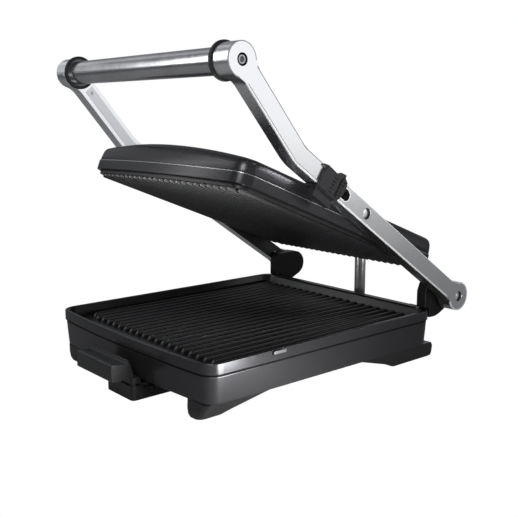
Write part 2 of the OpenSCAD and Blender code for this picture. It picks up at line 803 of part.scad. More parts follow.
module pivot_pins() {
    color([0.8, 0.8, 0.82])
    pair() arm_place() {
        arm_hole(pivot_s, 0, pivot_r, lid_w / 2 - 8, arm_x - recess_d + seat + e);
        arm_hole(pivot_s, 0, recess_r - seat, arm_x - recess_d + seat, arm_x - recess_d + 2);
    }
}

module grip_place() {
    arm_place() translate([grip_s, grip_p, 0]) children();
}

module handle_tube() {
    color([0.45, 0.45, 0.46])
    grip_place() difference() {
        cylinder(h = 2 * (grip_x - seat), r = tube_r, center = true);
        cylinder(h = 2 * grip_x, r = tube_r - tube_wall, center = true);
    }
}

module handle_collars() {
    color([0.06, 0.06, 0.06])
    pair() grip_place() translate([0, 0, -grip_x + seat]) difference() {
        union() {
            cylinder(h = collar_t - 0.8, r = collar_r);
            translate([0, 0, collar_t - 0.8 - e]) cylinder(h = 0.8, r1 = collar_r, r2 = collar_r - 0.8);
        }
        translate([0, 0, -1]) cylinder(h = collar_t + 2, r = tube_r + 0.1);
    }
}

module handle_inserts() {
    color([0.7, 0.7, 0.7])
    pair() grip_place() translate([0, 0, -grip_x + seat]) difference() {
        cylinder(h = 30, r = tube_r - tube_wall - 0.1);
        translate([0, 0, -1]) cylinder(h = 25, r = 3.1);
    }
}

module handle_screws() {
    color([0.5, 0.5, 0.52])
    pair() grip_place() translate([0, 0, -arm_x]) difference() {
        union() {
            translate([0, 0, 0.6]) cylinder(h = screw_well_d - 0.6 - seat, r = screw_head_r);
            translate([0, 0, screw_well_d - seat - e]) cylinder(h = 37, r = 3);
        }
        translate([0, 0, -1]) cylinder(h = screw_well_d - 0.8, r = screw_head_r * 0.66, $fn = 6);
    }
}

// ---------- height clip ----------

module height_clip() {
    x0 = arm_x + seat;
    x1 = x0 + clip_t;
    lo = -arm_low - bar_hw;
    s0 = clip_s0;
    s1 = clip_s1;
    color([0.2, 0.2, 0.21])
    arm_place() {
        // outer wall: square at the front with a small lip, rounded at the thumb end
        translate([0, 0, -x1]) linear_extrude(clip_t) polygon([
            [s0 + 5, lo - 3.2], [s1, lo - 3.2], [s1, 6.5], [s1 + 4, 8], [s1 + 3, 10], [s1 - 3, 11.8],
            [s0 + 20.5, 11.2], [s0 + 15, 15.3], [s0 + 7, 16.8], [s0 + 6.4, 13.3], [s0 + 1.6, 10.6], [s0, 4],
            [s0 + 1, -4], [s0 + 3.3, lo + 1.5]
        ]);
        translate([0, 0, -x1 - clip_pad]) linear_extrude(clip_pad + e) {
            // raised panel
            polygon([[s0 + 23, lo - 2.4], [s1 - 0.5, lo - 2.4], [s1 - 0.5, 6.2], [s1 - 3, 9.4], [s0 + 23, 9]]);
            // thumb pad
            polygon([[s0 + 4.4, lo], [s0 + 11, lo], [s0 + 11, 8.4], [s0 + 9, 12], [s0 + 6.5, 12],
                [s0 + 2.4, 9.6], [s0 + 0.8, 4], [s0 + 1.8, -4]]);
            // teeth between them
            for (i = [0:4]) {
                translate([s0 + 17, lo + 0.8 + i * 4.1]) square([7, 1.9]);
            }
        }
        // wrap under the bar
        translate([s0 + 5, lo - 3.2, -x1]) cube([s1 - s0 - 7, 2.9, x1 - arm_in + 1]);
        // finger block
        translate([s0 + 6, lo - clip_drop, -arm_x + 1.2]) cube([s1 - s0 - 9, clip_drop - 3, 9]);
    }
}

module clip_pin() {
    color([0.7, 0.7, 0.72])
    arm_place() {
        translate([slot_s1 - 0.5, 0, -arm_x - seat + 0.05]) cylinder(h = arm_t + 0.6, r = slot_r - fit);
    }
}

// ---------- lid ----------
// Lid coordinates: y from the front edge, z from the seam.

module lid_place() {
    translate([0, pivot_y, pivot_z]) rotate([-lid_tilt, 0, 0])
        translate([0, -lid_pivot_y, -lid_pivot_z]) children();
}

module lid_housing() {
    color([0.22, 0.22, 0.23])
    lid_place() difference() {
        skin([
            lift(lid_ring(0), 0),
            lid_lift(lid_ring(0.8), 0.45, 0),
            lid_lift(lid_ring(2.2), 0.8, 0),
            lid_lift(lid_ring(4), 0.93, 0),
            lid_lift(lid_ring(7), 1, 0),
            lid_lift(lid_ring(14), 1, 0.2),
            lid_lift(lid_ring(40), 1, 0.4),
            lid_lift(lid_ring(80), 1, 0.4),
            lid_lift(lid_ring(120), 1, 0.4)
        ], [0, lid_d / 2, lid_top(0, lid_d / 2) + 0.4]);
        skin([
            lift(lid_ring(5), -1),
            lid_lift(lid_ring(5), 0.3, 0),
            lid_lift(lid_ring(7), 0.75, 0),
            lid_lift(lid_ring(11), 1, -2.8),
            lid_lift(lid_ring(40), 1, -2.2),
            lid_lift(lid_ring(80), 1, -2.2),
            lid_lift(lid_ring(120), 1, -2.2)
        ], [0, lid_d / 2, lid_top(0, lid_d / 2) - 2.2]);
        rod_x(-lid_w, lid_w, pivot_r + 2.3, lid_pivot_y, lid_pivot_z);
        for (s = [-1, 1]) {
            rod_y(cable_x + s * cable_half, lid_d - 12, lid_d + 5, cable_lid_z, cable_r + seat);
        }
    }
}

cable_lid_z = 6;

module lid_band() {
    color([0.2, 0.2, 0.21])
    lid_place() difference() {
        union() {
            slab(lid_ring(-band_out), -band_h + 0.6, -seat);
            slab(lid_ring(-band_out + 0.6), -band_h, -band_h + 0.7);
        }
        slab(lid_ring(2.5), -band_h - 1, 1);
    }
}

module upper_plate() {
    inset = 4;
    color([0.09, 0.09, 0.095])
    lid_place() {
        difference() {
            union() {
                slab(lid_ring(inset), plate_top - 1.5, -2);
                slab(lid_ring(2.5 + seat), -3.5, -1.1 - seat);
            }
            slab(lid_ring(inset + 2.5), plate_top + 2.5, 0);
        }
        intersection() {
            translate([0, lid_d - 6, plate_top]) rotate([90, 0, 0]) linear_extrude(lid_d + 4)
                mirror([0, 1]) rib_comb(upper_ribs, upper_rib_pitch, 6.5, 3.2, upper_rib_h);
            slab(lid_ring(inset + 1.5), -tip_drop, plate_top + 1);
        }
    }
}

module upper_element() {
    color([0.35, 0.33, 0.31])
    lid_place() translate([0, lid_d / 2, 0])
        heating_rod(lid_w / 2 - rod_in + 2, rod_in + 2.5 - lid_d / 2, lid_d / 2 - rod_in - 2.5,
            plate_top + 2.5 + seat + 3.3, 3.2, rod_bend);
}

module upper_reflector() {
    color([0.72, 0.72, 0.72])
    lid_place() slab(lid_ring(4), -1.1, -seat);
}

module pivot_bushes() {
    color([0.3, 0.3, 0.31])
    lid_place() pair() difference() {
        union() {
            rod_x(lid_w / 2 - 9, arm_in - seat, pivot_r + 2, lid_pivot_y, lid_pivot_z);
            rod_x(lid_w / 2 - 10, lid_w / 2 - 8, pivot_r + 2.5, lid_pivot_y, lid_pivot_z - 0.2);
        }
        rod_x(lid_w / 2 - 20, arm_in, pivot_r + fit, lid_pivot_y, lid_pivot_z);
    }
}

// ---------- drip tray ----------

module drip_tray() {
    y0 = tray_front;
    y1 = y0 + tray_l;
    mid = (tray_x0 + tray_x1) / 2;
    color([0.12, 0.12, 0.125]) {
        difference() {
            union() {
                tray_block(0, 1, tray_top, y0, y1);
                intersection() {
                    tray_block(0, tray_top - 1, pull_z + 3, y0, y0 + 20);
                    side_profile([[y0 - 1, 0], [y0 + 11.5, 0], [y0 + 10.5, pull_z], [y0 + 3, pull_z + 3],
                        [y0 - 1, pull_z + 3]], tray_x0 - 1, tray_x1 + 1);
                }
                // flanges that ride in the rails
                box([tray_x0 - 4.5, y0 + 14, rail_z], [tray_x1 + 4.5, y1, rail_z + 1.8]);
            }
            tray_block(tray_wall, 1 + tray_wall, 40, y0 + 11, y1);
        }
        tray_grip();
    }
}

// Tray body with rounded front corners, drawn in by i.
module tray_block(i, z0, z1, y0, y1) {
    r = 5 - i;
    translate([0, 0, z0]) linear_extrude(z1 - z0) {
        translate([tray_x0 + i + r, y0 + i + r]) circle(r);
        translate([tray_x1 - i - r, y0 + i + r]) circle(r);
        translate([tray_x0 + i + r, y0 + i]) square([tray_x1 - tray_x0 - 2 * (i + r), r + 1]);
        translate([tray_x0 + i, y0 + i + r]) square([tray_x1 - tray_x0 - 2 * i, y1 - y0 - 2 * i - r]);
    }
}

// Pull block across the front, with a ridge near its back edge.
module tray_grip() {
    f = pull_front;
    b = rim_y0 - 13;
    z = pull_z;
    t = pull_z + pull_h;
    side_profile([
        [f + 1.5, z], [b, z], [b - 0.6, z + 2], [b - 6.5, t - 0.8], [b - 7.4, t + 2.2], [b - 9.6, t + 2.6],
        [b - 10.8, t - 1.2], [b - 14, t - 1.4], [f + 3, t], [f + 0.8, t - 0.8], [f, t - 3.3], [f, z + 1.5]
    ], pull_x0, pull_x1);
}

// ---------- cables ----------

// One cable from the lid's rear wall down into the housing's rear wall.
module cable(x) {
    // start of the outer run, where the cable has left the lid
    a = lid_d + 2.5 - lid_pivot_y;
    b = cable_lid_z - lid_pivot_z;
    y0 = pivot_y + a * cos(lid_tilt) + b * sin(lid_tilt);
    z0 = pivot_z - a * sin(lid_tilt) + b * cos(lid_tilt);
    r1 = cable_bend;
    turn = 90 - lid_tilt;
    yc = y0 - r1 * sin(lid_tilt);
    zc = z0 - r1 * cos(lid_tilt);
    r2 = 14;
    // straight lengths are a hair thinner and reach a little into the bends
    run_r = cable_r - 0.05;
    lap = 0.5;
    translate([x, 0, 0]) {
        // out of the lid
        translate([0, y0, z0]) rotate([90 - lid_tilt, 0, 0])
            translate([0, 0, -lap]) cylinder(h = 9, r = run_r);
        // first bend, down
        translate([0, yc, zc]) rotate([90, 0, 90])
            rotate_extrude(angle = turn) translate([r1, 0]) circle(cable_r);
        // straight run
        translate([0, yc + r1, cable_end_z + r2 - lap])
            cylinder(h = zc - cable_end_z - r2 + 2 * lap, r = run_r);
        // second bend, into the base
        translate([0, yc + r1 - r2, cable_end_z + r2]) rotate([90, 0, 90]) rotate([0, 0, -90])
            rotate_extrude(angle = 90) translate([r2, 0]) circle(cable_r);
        rod_y(0, rim_y1 - 10, yc + r1 - r2 + lap, cable_end_z, run_r);
    }
}

module lid_cables() {
    color([0.25, 0.25, 0.26]) {
        cable(cable_x - cable_half);
        cable(cable_x + cable_half);
    }
}

base_housing();
base_rim();
lower_plate();
lower_element();
lower_reflector();
thermostat();
foot_front_right();
foot_front_left();
foot_rear_right();
foot_rear_left();
foot_pads();
hinge_bracket_right();
hinge_bracket_left();
hinge_pins();
hinge_washers();
tray_rails();
plate_clip();
base_screws();
arm_right();
arm_left();
arm_cover_right();
arm_cover_left();
cover_screws();
pivot_pins();
handle_tube();
handle_collars();
handle_inserts();
handle_screws();
lid_housing();
lid_band();
upper_plate();
upper_element();
upper_reflector();
pivot_bushes();
height_clip();
clip_pin();
drip_tray();
lid_cables();
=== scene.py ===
"""Looks of the electric indoor grill: pieces, finishes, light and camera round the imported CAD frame."""

import logging
import math
from collections.abc import Callable
from dataclasses import dataclass
from enum import Enum

import bmesh
import bpy
from mathutils import Matrix, Vector


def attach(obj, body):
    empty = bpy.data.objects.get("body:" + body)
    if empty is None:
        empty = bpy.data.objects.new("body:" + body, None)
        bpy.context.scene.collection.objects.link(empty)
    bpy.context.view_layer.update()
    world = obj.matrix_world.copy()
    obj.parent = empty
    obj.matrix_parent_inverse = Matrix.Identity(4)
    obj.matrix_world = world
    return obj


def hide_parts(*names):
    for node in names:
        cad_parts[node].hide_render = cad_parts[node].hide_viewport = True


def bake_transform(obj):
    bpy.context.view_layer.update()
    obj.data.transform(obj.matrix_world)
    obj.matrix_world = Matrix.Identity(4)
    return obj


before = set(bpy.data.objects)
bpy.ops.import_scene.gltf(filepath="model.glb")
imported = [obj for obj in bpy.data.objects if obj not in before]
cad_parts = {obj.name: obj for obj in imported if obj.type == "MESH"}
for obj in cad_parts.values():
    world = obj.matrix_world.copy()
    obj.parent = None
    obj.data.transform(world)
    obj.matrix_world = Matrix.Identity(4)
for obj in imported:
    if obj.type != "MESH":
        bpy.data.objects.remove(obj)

LOG = logging.getLogger("grill")
MM = 0.001
SMOOTH_ANGLE = math.radians(38)
WELD, WELD_FOR_BEVEL = 0.002, 0.004
BOTH = (-1, 1)


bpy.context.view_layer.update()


# ---- sizes


def turned(x: "float | Signal", y: "float | Signal", degrees: float) -> tuple:
    """Turns a pair of lengths, or of shader signals, anticlockwise by an angle in degrees."""
    c, s = math.cos(math.radians(degrees)), math.sin(math.radians(degrees))
    return x * c - y * s, x * s + y * c


@dataclass(frozen=True)
class GrillSizes:
    """Driving sizes in millimetres, as in the CAD part."""

    rim_w: float = 318.0
    rim_d: float = 363.0
    rim_bow: float = 5.5
    rim_r_front: float = 20.0
    rim_r_rear: float = 22.0
    rim_y0: float = -185.0
    rim_top: float = 66.0
    rim_h: float = 12.5
    seam_h: float = 1.2
    gap: float = 0.3
    floor_z: float = 21.0
    plate_floor: float = 52.0
    hinge_y: float = 209.3
    hinge_z: float = 80.65
    arm_angle: float = 33.9
    arm_x: float = 172.2
    arm_t: float = 19.0
    arm_w: float = 21.5
    arm_low: float = 0.75
    bend_s: float = 341.0
    bend_a: float = 16.4
    bend_r: float = 60.0
    bend_to_end: float = 116.3
    grip_s: float = 455.74
    grip_p: float = 33.02
    disc_r: float = 18.5
    barrel_r: float = 18.9
    fillet_r: float = 25.0
    boss_r: float = 17.5
    boss_l: float = 24.7
    pivot_s: float = 217.9
    pit_depth: float = 6.2
    pit_r: float = 6.5
    slot_s0: float = 259.0
    slot_s1: float = 291.0
    slot_r: float = 6.3
    tube_r: float = 13.75
    lid_tilt: float = 21.4
    lid_w: float = 300.0
    lid_d: float = 339.0
    lid_bow: float = 6.5
    lid_r: float = 20.0
    band_h: float = 12.5
    lid_pivot_y: float = 168.0
    lid_pivot_z: float = 8.0
    lid_h_front: float = 14.4
    lid_h_side: float = 5.0
    lid_crown: float = 9.5

    @property
    def rim_y1(self) -> float:
        """Rear of the rim."""
        return self.rim_y0 + self.rim_d

    @property
    def bend_t(self) -> float:
        """Length of the bend's tangent on each side."""
        return self.bend_r * math.tan(math.radians(self.bend_a / 2))

    @property
    def up_len(self) -> float:
        """Straight length past the bend."""
        return self.bend_to_end - self.bend_t

    @property
    def arm_in(self) -> float:
        """Inner face of the right arm."""
        return self.arm_x - self.arm_t

    @property
    def grip_x(self) -> float:
        """Inner face of the handle boss."""
        return self.arm_x - self.boss_l

    @property
    def pivot(self) -> tuple[float, float]:
        """Lid pivot as (y, z)."""
        y, z = turned(self.pivot_s, 0, self.arm_angle)
        return self.hinge_y - y, self.hinge_z + z


S = GrillSizes()
Point2 = tuple[float, float]
Point3 = tuple[float, float, float]
Outline = list[Point2]
Ring = list[Point3]
Place = Callable[[Point3], Vector]
Socket = bpy.types.NodeSocket
Piece = bpy.types.Object
CORNER_STEPS = 10
FRONT_STEPS = 24


class Body(Enum):
    """CAD bodies that pieces ride on."""

    BASE = "base"
    ARMS = "arms"
    LID = "lid"
    CLIP = "clip"
    TRAY = "drip_tray"


# ---- outlines


def circle_points(cx: float, cy: float, r: float, n: int = 40, a0: float = 0.0, a1: float = 360.0) -> Outline:
    """Makes a circle or an arc.

    Args:
        cx: First coordinate of the centre.
        cy: Second coordinate of the centre.
        r: Radius.
        n: Steps.
        a0: Angle of the first point, in degrees.
        a1: Angle of the last point; a full circle leaves that point out.

    Returns:
        The points in order.
    """
    count = n if abs(a1 - a0) >= 360 else n + 1
    spots = [turned(r, 0, a0 + (a1 - a0) * i / n) for i in range(count)]
    return [(cx + x, cy + y) for x, y in spots]


def bowed_outline(half: float, front: float, rear: float, bow: float, rf: float, rr: float) -> Outline:
    """Makes a round-cornered outline whose front edge bows forward.

    Args:
        half: Half the width.
        front: Front edge at the corners.
        rear: Rear edge.
        bow: How far the front's middle stands forward.
        rf: Front corner radius.
        rr: Rear corner radius.

    Returns:
        Points anticlockwise from the front left, always the same count.
    """
    slope, n = math.atan(2 * bow / (half - rf)), CORNER_STEPS
    cx, cy = half - rf, front + rf * math.cos(slope)
    px, lean = cx + rf * math.sin(slope), math.degrees(slope)
    edge = [px * (2 * i / FRONT_STEPS - 1) for i in range(FRONT_STEPS + 1)]
    return [
        *((x, front - bow * (1 - x * x / px / px)) for x in edge),
        *circle_points(cx, cy, rf, n, lean - 90, 0)[1:],
        *circle_points(half - rr, rear - rr, rr, n, 0, 90),
        *circle_points(rr - half, rear - rr, rr, n, 90, 180),
        *circle_points(-cx, cy, rf, n, 180, 270 - lean)[:-1],
    ]


def base_ring(inset: float, rear: float = 0.0) -> Outline:
    """Makes the base's outline.

    Args:
        inset: How far it is drawn in.
        rear: How much further at the rear.

    Returns:
        Its points.
    """
    return bowed_outline(
        S.rim_w / 2 - inset,
        S.rim_y0 + inset,
        S.rim_y1 - inset - rear,
        S.rim_bow,
        max(S.rim_r_front - inset, 3),
        max(S.rim_r_rear - inset - rear / 2, 3),
    )


def lid_ring(inset: float) -> Outline:
    """Lid outline drawn in by inset, in the lid's coordinates."""
    r = max(S.lid_r - inset, 2)
    return bowed_outline(S.lid_w / 2 - inset, inset, S.lid_d - inset, S.lid_bow, r, r)


def lid_top(x: float, y: float) -> float:
    """Works out the height of the lid's top over its seam.

    Args:
        x: Place across the lid.
        y: Place from the lid's front.

    Returns:
        The height.
    """
    side = S.lid_h_front + S.lid_h_side * math.sin(math.pi / 2 * min(1.0, max(0.0, y) / 130))
    sag = S.lid_crown * (1 - 0.55 * min(1.0, max(0.0, y) / S.lid_d))
    rear = -3 * ((y - 300) / 39) ** 2 if y > 300 else 0.0
    return side + sag * (1 - (x / (S.lid_w / 2)) ** 2) + rear


# ---- placing


def in_world(p: Point3) -> Vector:
    """Leaves a point where it is."""
    return Vector(p)


def in_arm(p: Point3) -> Vector:
    """Maps (s along the arm, perp across it, X) to the row frame, in millimetres."""
    y, z = turned(p[0], p[1], S.arm_angle)
    return Vector((p[2], S.hinge_y - y, S.hinge_z + z))


def in_arm_left(p: Point3) -> Vector:
    """The same for the left arm: X is mirrored."""
    return in_arm((p[0], p[1], -p[2]))


def in_lid(p: Point3) -> Vector:
    """Maps lid coordinates (x, y from the front, z from the seam) to the row frame."""
    y, z = turned(p[1] - S.lid_pivot_y, p[2] - S.lid_pivot_z, -S.lid_tilt)
    return Vector((p[0], S.pivot[0] + y, S.pivot[1] + z))


def beside(off: float, s0: float, u1: float) -> Outline:
    """Follows the arm's middle line at a distance.

    Args:
        off: Distance from the middle line, positive upwards.
        s0: Start along the arm; left out when it lies past the bend's start.
        u1: Length past the bend.

    Returns:
        Points from s0, round the bend and on to its end.
    """
    cx, cy = S.bend_s - S.bend_t, S.bend_r - S.arm_low
    bend = circle_points(cx, cy, S.bend_r - off, 12, -90, S.bend_a - 90)
    dx, dy = turned(u1, 0, S.bend_a)
    start = [(s0, off - S.arm_low)] if s0 < cx else []
    return [*start, *bend, (bend[-1][0] + dx, bend[-1][1] + dy)]


# ---- meshes


class Form:
    """A mesh under construction, in millimetres, mapped into the row frame when it is made."""

    def __init__(self, place: Place = in_world) -> None:
        """Starts empty; place maps a local point to the row frame."""
        self.bm = bmesh.new()
        self.place = place

    def verts(self, pts: Ring) -> list[bmesh.types.BMVert]:
        """Adds points that nothing joins yet."""
        return [self.bm.verts.new(Vector(p)) for p in pts]

    def loft(self, rings: list[Ring], closed: bool = False, caps: bool = True) -> "Form":
        """Joins rings of equal count with quads.

        Args:
            rings: The rings in order.
            closed: The last ring joins the first.
            caps: Both ends get a face.

        Returns:
            This form.
        """
        rows = [self.verts(r) for r in rings]
        n = len(rows[0])
        pairs = list(zip(rows, rows[1:])) + ([(rows[-1], rows[0])] if closed else [])
        for a, b in pairs:
            for i in range(n):
                self.bm.faces.new((a[i], a[(i + 1) % n], b[(i + 1) % n], b[i]))
        if caps and not closed:
            self.bm.faces.new(list(reversed(rows[0])))
            self.bm.faces.new(rows[-1])
        return self

    def slab(self, outline: Outline, z0: float, z1: float, axes: str = "xyz") -> "Form":
        """Draws an outline out from z0 to z1; axes names its first, second and depth directions."""
        order = [axes.index(name) for name in "xyz"]
        return self.loft([[tuple((*p, z)[k] for k in order) for p in outline] for z in (z0, z1)])

    def pierced(self, outline: Outline, holes: list[Outline], z0: float, z1: float) -> "Form":
        """Draws an outline with holes out from z0 to z1.

        Args:
            outline: Outer points.
            holes: Lists of points, one per hole.
            z0: First height.
            z1: Second height.

        Returns:
            This form.
        """
        edges = []
        for loop in [outline, *holes]:
            vs = self.verts([(p[0], p[1], z0) for p in loop])
            edges += [self.bm.edges.new((vs[i], vs[(i + 1) % len(vs)])) for i in range(len(vs))]
        made = bmesh.ops.triangle_fill(self.bm, use_beauty=True, use_dissolve=True, edges=edges)
        faces = [g for g in made["geom"] if isinstance(g, bmesh.types.BMFace)]
        grown = bmesh.ops.extrude_face_region(self.bm, geom=faces, use_keep_orig=True)
        verts = [g for g in grown["geom"] if isinstance(g, bmesh.types.BMVert)]
        bmesh.ops.translate(self.bm, verts=verts, vec=Vector((0, 0, z1 - z0)))
        return self

    def box(self, low: Point3, high: Point3) -> "Form":
        """Adds a box.

        Args:
            low: Lowest corner.
            high: Highest corner.

        Returns:
            This form.
        """
        made = bmesh.ops.create_cube(self.bm, size=1)
        size, middle = Vector(high) - Vector(low), (Vector(high) + Vector(low)) / 2
        for v in made["verts"]:
            v.co = v.co * size + middle
        return self

    def lathe(self, profile: Outline, centre: Point2, steps: int = 48, axis: str = "x") -> "Form":
        """Turns a profile of (along, radius) round an axis.

        Args:
            profile: Points in order; radius 0 closes an end, and a repeated first point closes a ring.
            centre: The axis's place in the other two coordinates.
            steps: Facets round it.
            axis: "x" or "z".

        Returns:
            This form.
        """
        rings = []
        for along, r in profile:
            ring = circle_points(*centre, max(r, 1e-4), steps)
            rings.append([(along, u, v) if axis == "x" else (u, v, along) for u, v in ring])
        if profile[0] == profile[-1]:
            return self.loft(rings[:-1], closed=True)
        return self.loft(rings)

    def pair(self, profile: Outline, centre: Point2, steps: int = 40, axis: str = "x") -> "Form":
        """Turns a profile of the right side and its mirror image.

        Args:
            profile: As in lathe.
            centre: As in lathe.
            steps: As in lathe.
            axis: As in lathe.

        Returns:
            This form.
        """
        for sign in BOTH:
            self.lathe([(sign * along, r) for along, r in profile], centre, steps, axis)
        return self

    def pipe(self, path: Ring, r: float, steps: int = 20) -> "Form":
        """Sweeps a round section along a path that bends in one plane.

        Args:
            path: Centre points.
            r: Radius.
            steps: Facets round it.

        Returns:
            This form.
        """
        rings, side = [], None
        for i, p in enumerate(path):
            t = (Vector(path[min(i + 1, len(path) - 1)]) - Vector(path[max(i - 1, 0)])).normalized()
            side = side or t.orthogonal().normalized()
            side = (side - t * side.dot(t)).normalized()
            other = t.cross(side)
            rings.append([Vector(p) + side * u + other * v for u, v in circle_points(0, 0, r, steps)])
        return self.loft(rings)

    def round_over(
        self, offset: float, segments: int = 2, angle: float = 60,
        where: Callable[[Vector], bool] | None = None,
    ) -> "Form":
        """Bevels the sharp edges.

        Args:
            offset: Bevel width.
            segments: Steps over the bevel.
            angle: Edges whose faces turn by more than this many degrees are bevelled.
            where: Optional test on an edge's middle point.

        Returns:
            This form.
        """
        bmesh.ops.remove_doubles(self.bm, verts=self.bm.verts, dist=WELD_FOR_BEVEL)
        bmesh.ops.recalc_face_normals(self.bm, faces=self.bm.faces)
        edges = [
            e for e in self.bm.edges
            if len(e.link_faces) == 2 and e.calc_face_angle(0) > math.radians(angle)
            and (where is None or where((e.verts[0].co + e.verts[1].co) / 2))
        ]
        if edges:
            bmesh.ops.bevel(
                self.bm, geom=edges, offset=offset, offset_type="OFFSET", segments=segments, profile=0.5,
                affect="EDGES", clamp_overlap=True, material=-1,
            )
        return self

    def made(self, name: str) -> Piece:
        """Turns the form into an object at the origin.

        Args:
            name: Name of the object.

        Returns:
            The object.
        """
        bmesh.ops.remove_doubles(self.bm, verts=self.bm.verts, dist=WELD)
        for v in self.bm.verts:
            v.co = self.place(tuple(v.co)) * MM
        bmesh.ops.recalc_face_normals(self.bm, faces=self.bm.faces)
        mesh = bpy.data.meshes.new(name)
        self.bm.to_mesh(mesh)
        self.bm.free()
        mesh.shade_smooth()
        mesh.set_sharp_from_angle(angle=SMOOTH_ANGLE)
        made = bpy.data.objects.new(name, mesh)
        bpy.context.scene.collection.objects.link(made)
        return made


def lift(ring: Outline, z: float) -> Ring:
    """Lifts an outline to a height."""
    return [(*p, z) for p in ring]


def rings_of(ring: Callable[[float], Outline], section: Outline) -> list[Ring]:
    """Rings of one outline, drawn in by each inset of a section and lifted to its height."""
    return [lift(ring(inset), z) for inset, z in section]


def carve(target: Piece, cutter: Piece) -> Piece:
    """Cuts one closed mesh out of another and drops the cutter.

    Args:
        target: Object to cut.
        cutter: Object whose solid is taken away.

    Returns:
        The target.
    """
    mod = target.modifiers.new("carve", "BOOLEAN")
    mod.object, mod.operation, mod.solver = cutter, "DIFFERENCE", "EXACT"
    bpy.context.view_layer.update()
    graph = bpy.context.evaluated_depsgraph_get()
    mesh = bpy.data.meshes.new_from_object(target.evaluated_get(graph))
    target.modifiers.clear()
    old = target.data
    target.data = mesh
    mesh.shade_smooth()
    mesh.set_sharp_from_angle(angle=SMOOTH_ANGLE)
    bpy.data.objects.remove(cutter)
    bpy.data.meshes.remove(old)
    return target


# ---- shader maths


def operator(kind: str, swap: bool = False) -> "Callable[[Signal, float | Signal], Signal]":
    """Makes an operator of Signal that adds a maths node; swap puts the other value first."""
    return lambda signal, other: signal.apply(kind, other, swap)


class Signal:
    """A shader value that can be used in arithmetic."""

    def __init__(self, graph: "ShaderGraph", socket: Socket) -> None:
        """Wraps an output socket."""
        self.graph, self.socket = graph, socket

    def apply(self, kind: str, other: "float | Signal | None" = None, swap: bool = False) -> "Signal":
        """Adds a maths node that takes this value, and another one where there is one."""
        args = [self] if other is None else [self, other]
        return self.graph.math(kind, *(reversed(args) if swap else args))

    __add__, __radd__ = operator("ADD"), operator("ADD", True)
    __sub__, __rsub__ = operator("SUBTRACT"), operator("SUBTRACT", True)
    __mul__, __rmul__ = operator("MULTIPLY"), operator("MULTIPLY", True)
    __truediv__, __rtruediv__ = operator("DIVIDE"), operator("DIVIDE", True)
    __pow__, __rpow__ = operator("POWER"), operator("POWER", True)

    def __abs__(self) -> "Signal":
        """The value without its sign."""
        return self.apply("ABSOLUTE")

    def below(self, limit: float) -> "Signal":
        """1 where the value is below the limit."""
        return self.apply("LESS_THAN", limit)

    def above(self, limit: float) -> "Signal":
        """1 where the value is above the limit."""
        return self.apply("GREATER_THAN", limit)

    def between(self, low: float, high: float) -> "Signal":
        """1 where the value is above low and below high."""
        return self.above(low) * self.below(high)

    def clamp(self) -> "Signal":
        """Limits the value.

        Returns:
            The value within 0..1.
        """
        made = self.apply("ADD", 0.0)
        made.socket.node.use_clamp = True
        return made


class NodeGraph:
    """Adds and links nodes in one node tree."""

    def __init__(self, tree: bpy.types.NodeTree) -> None:
        """Empties the tree."""
        self.tree = tree
        tree.nodes.clear()

    def node(self, kind: str, inputs: dict | None = None, **props: object) -> bpy.types.Node:
        """Adds a node.

        Args:
            kind: Node type name.
            inputs: Socket name or index to a value or a Signal.
            **props: Node properties.

        Returns:
            The node.
        """
        made = self.tree.nodes.new(kind)
        for key, value in props.items():
            setattr(made, key, value)
        for key, value in (inputs or {}).items():
            self.feed(made.inputs[key], value)
        return made

    def feed(self, socket: Socket, value: object) -> None:
        """Sets or links one socket.

        Args:
            socket: Input socket.
            value: A plain value, a socket or a Signal.
        """
        value = value.socket if isinstance(value, Signal) else value
        if isinstance(value, Socket):
            self.tree.links.new(value, socket)
        else:
            socket.default_value = value

    def split_camera(self, surface: Socket, lit: bpy.types.Node, seen: bpy.types.Node) -> None:
        """Shows one shader to the camera and another to all other rays.

        Args:
            surface: Socket of the output node.
            lit: Shader for the other rays.
            seen: Shader for the camera's rays.
        """
        path = self.node("ShaderNodeLightPath")
        rays = path.outputs["Is Camera Ray"]
        mix = self.node("ShaderNodeMixShader", {0: rays, 1: lit.outputs[0], 2: seen.outputs[0]})
        self.feed(surface, mix.outputs["Shader"])


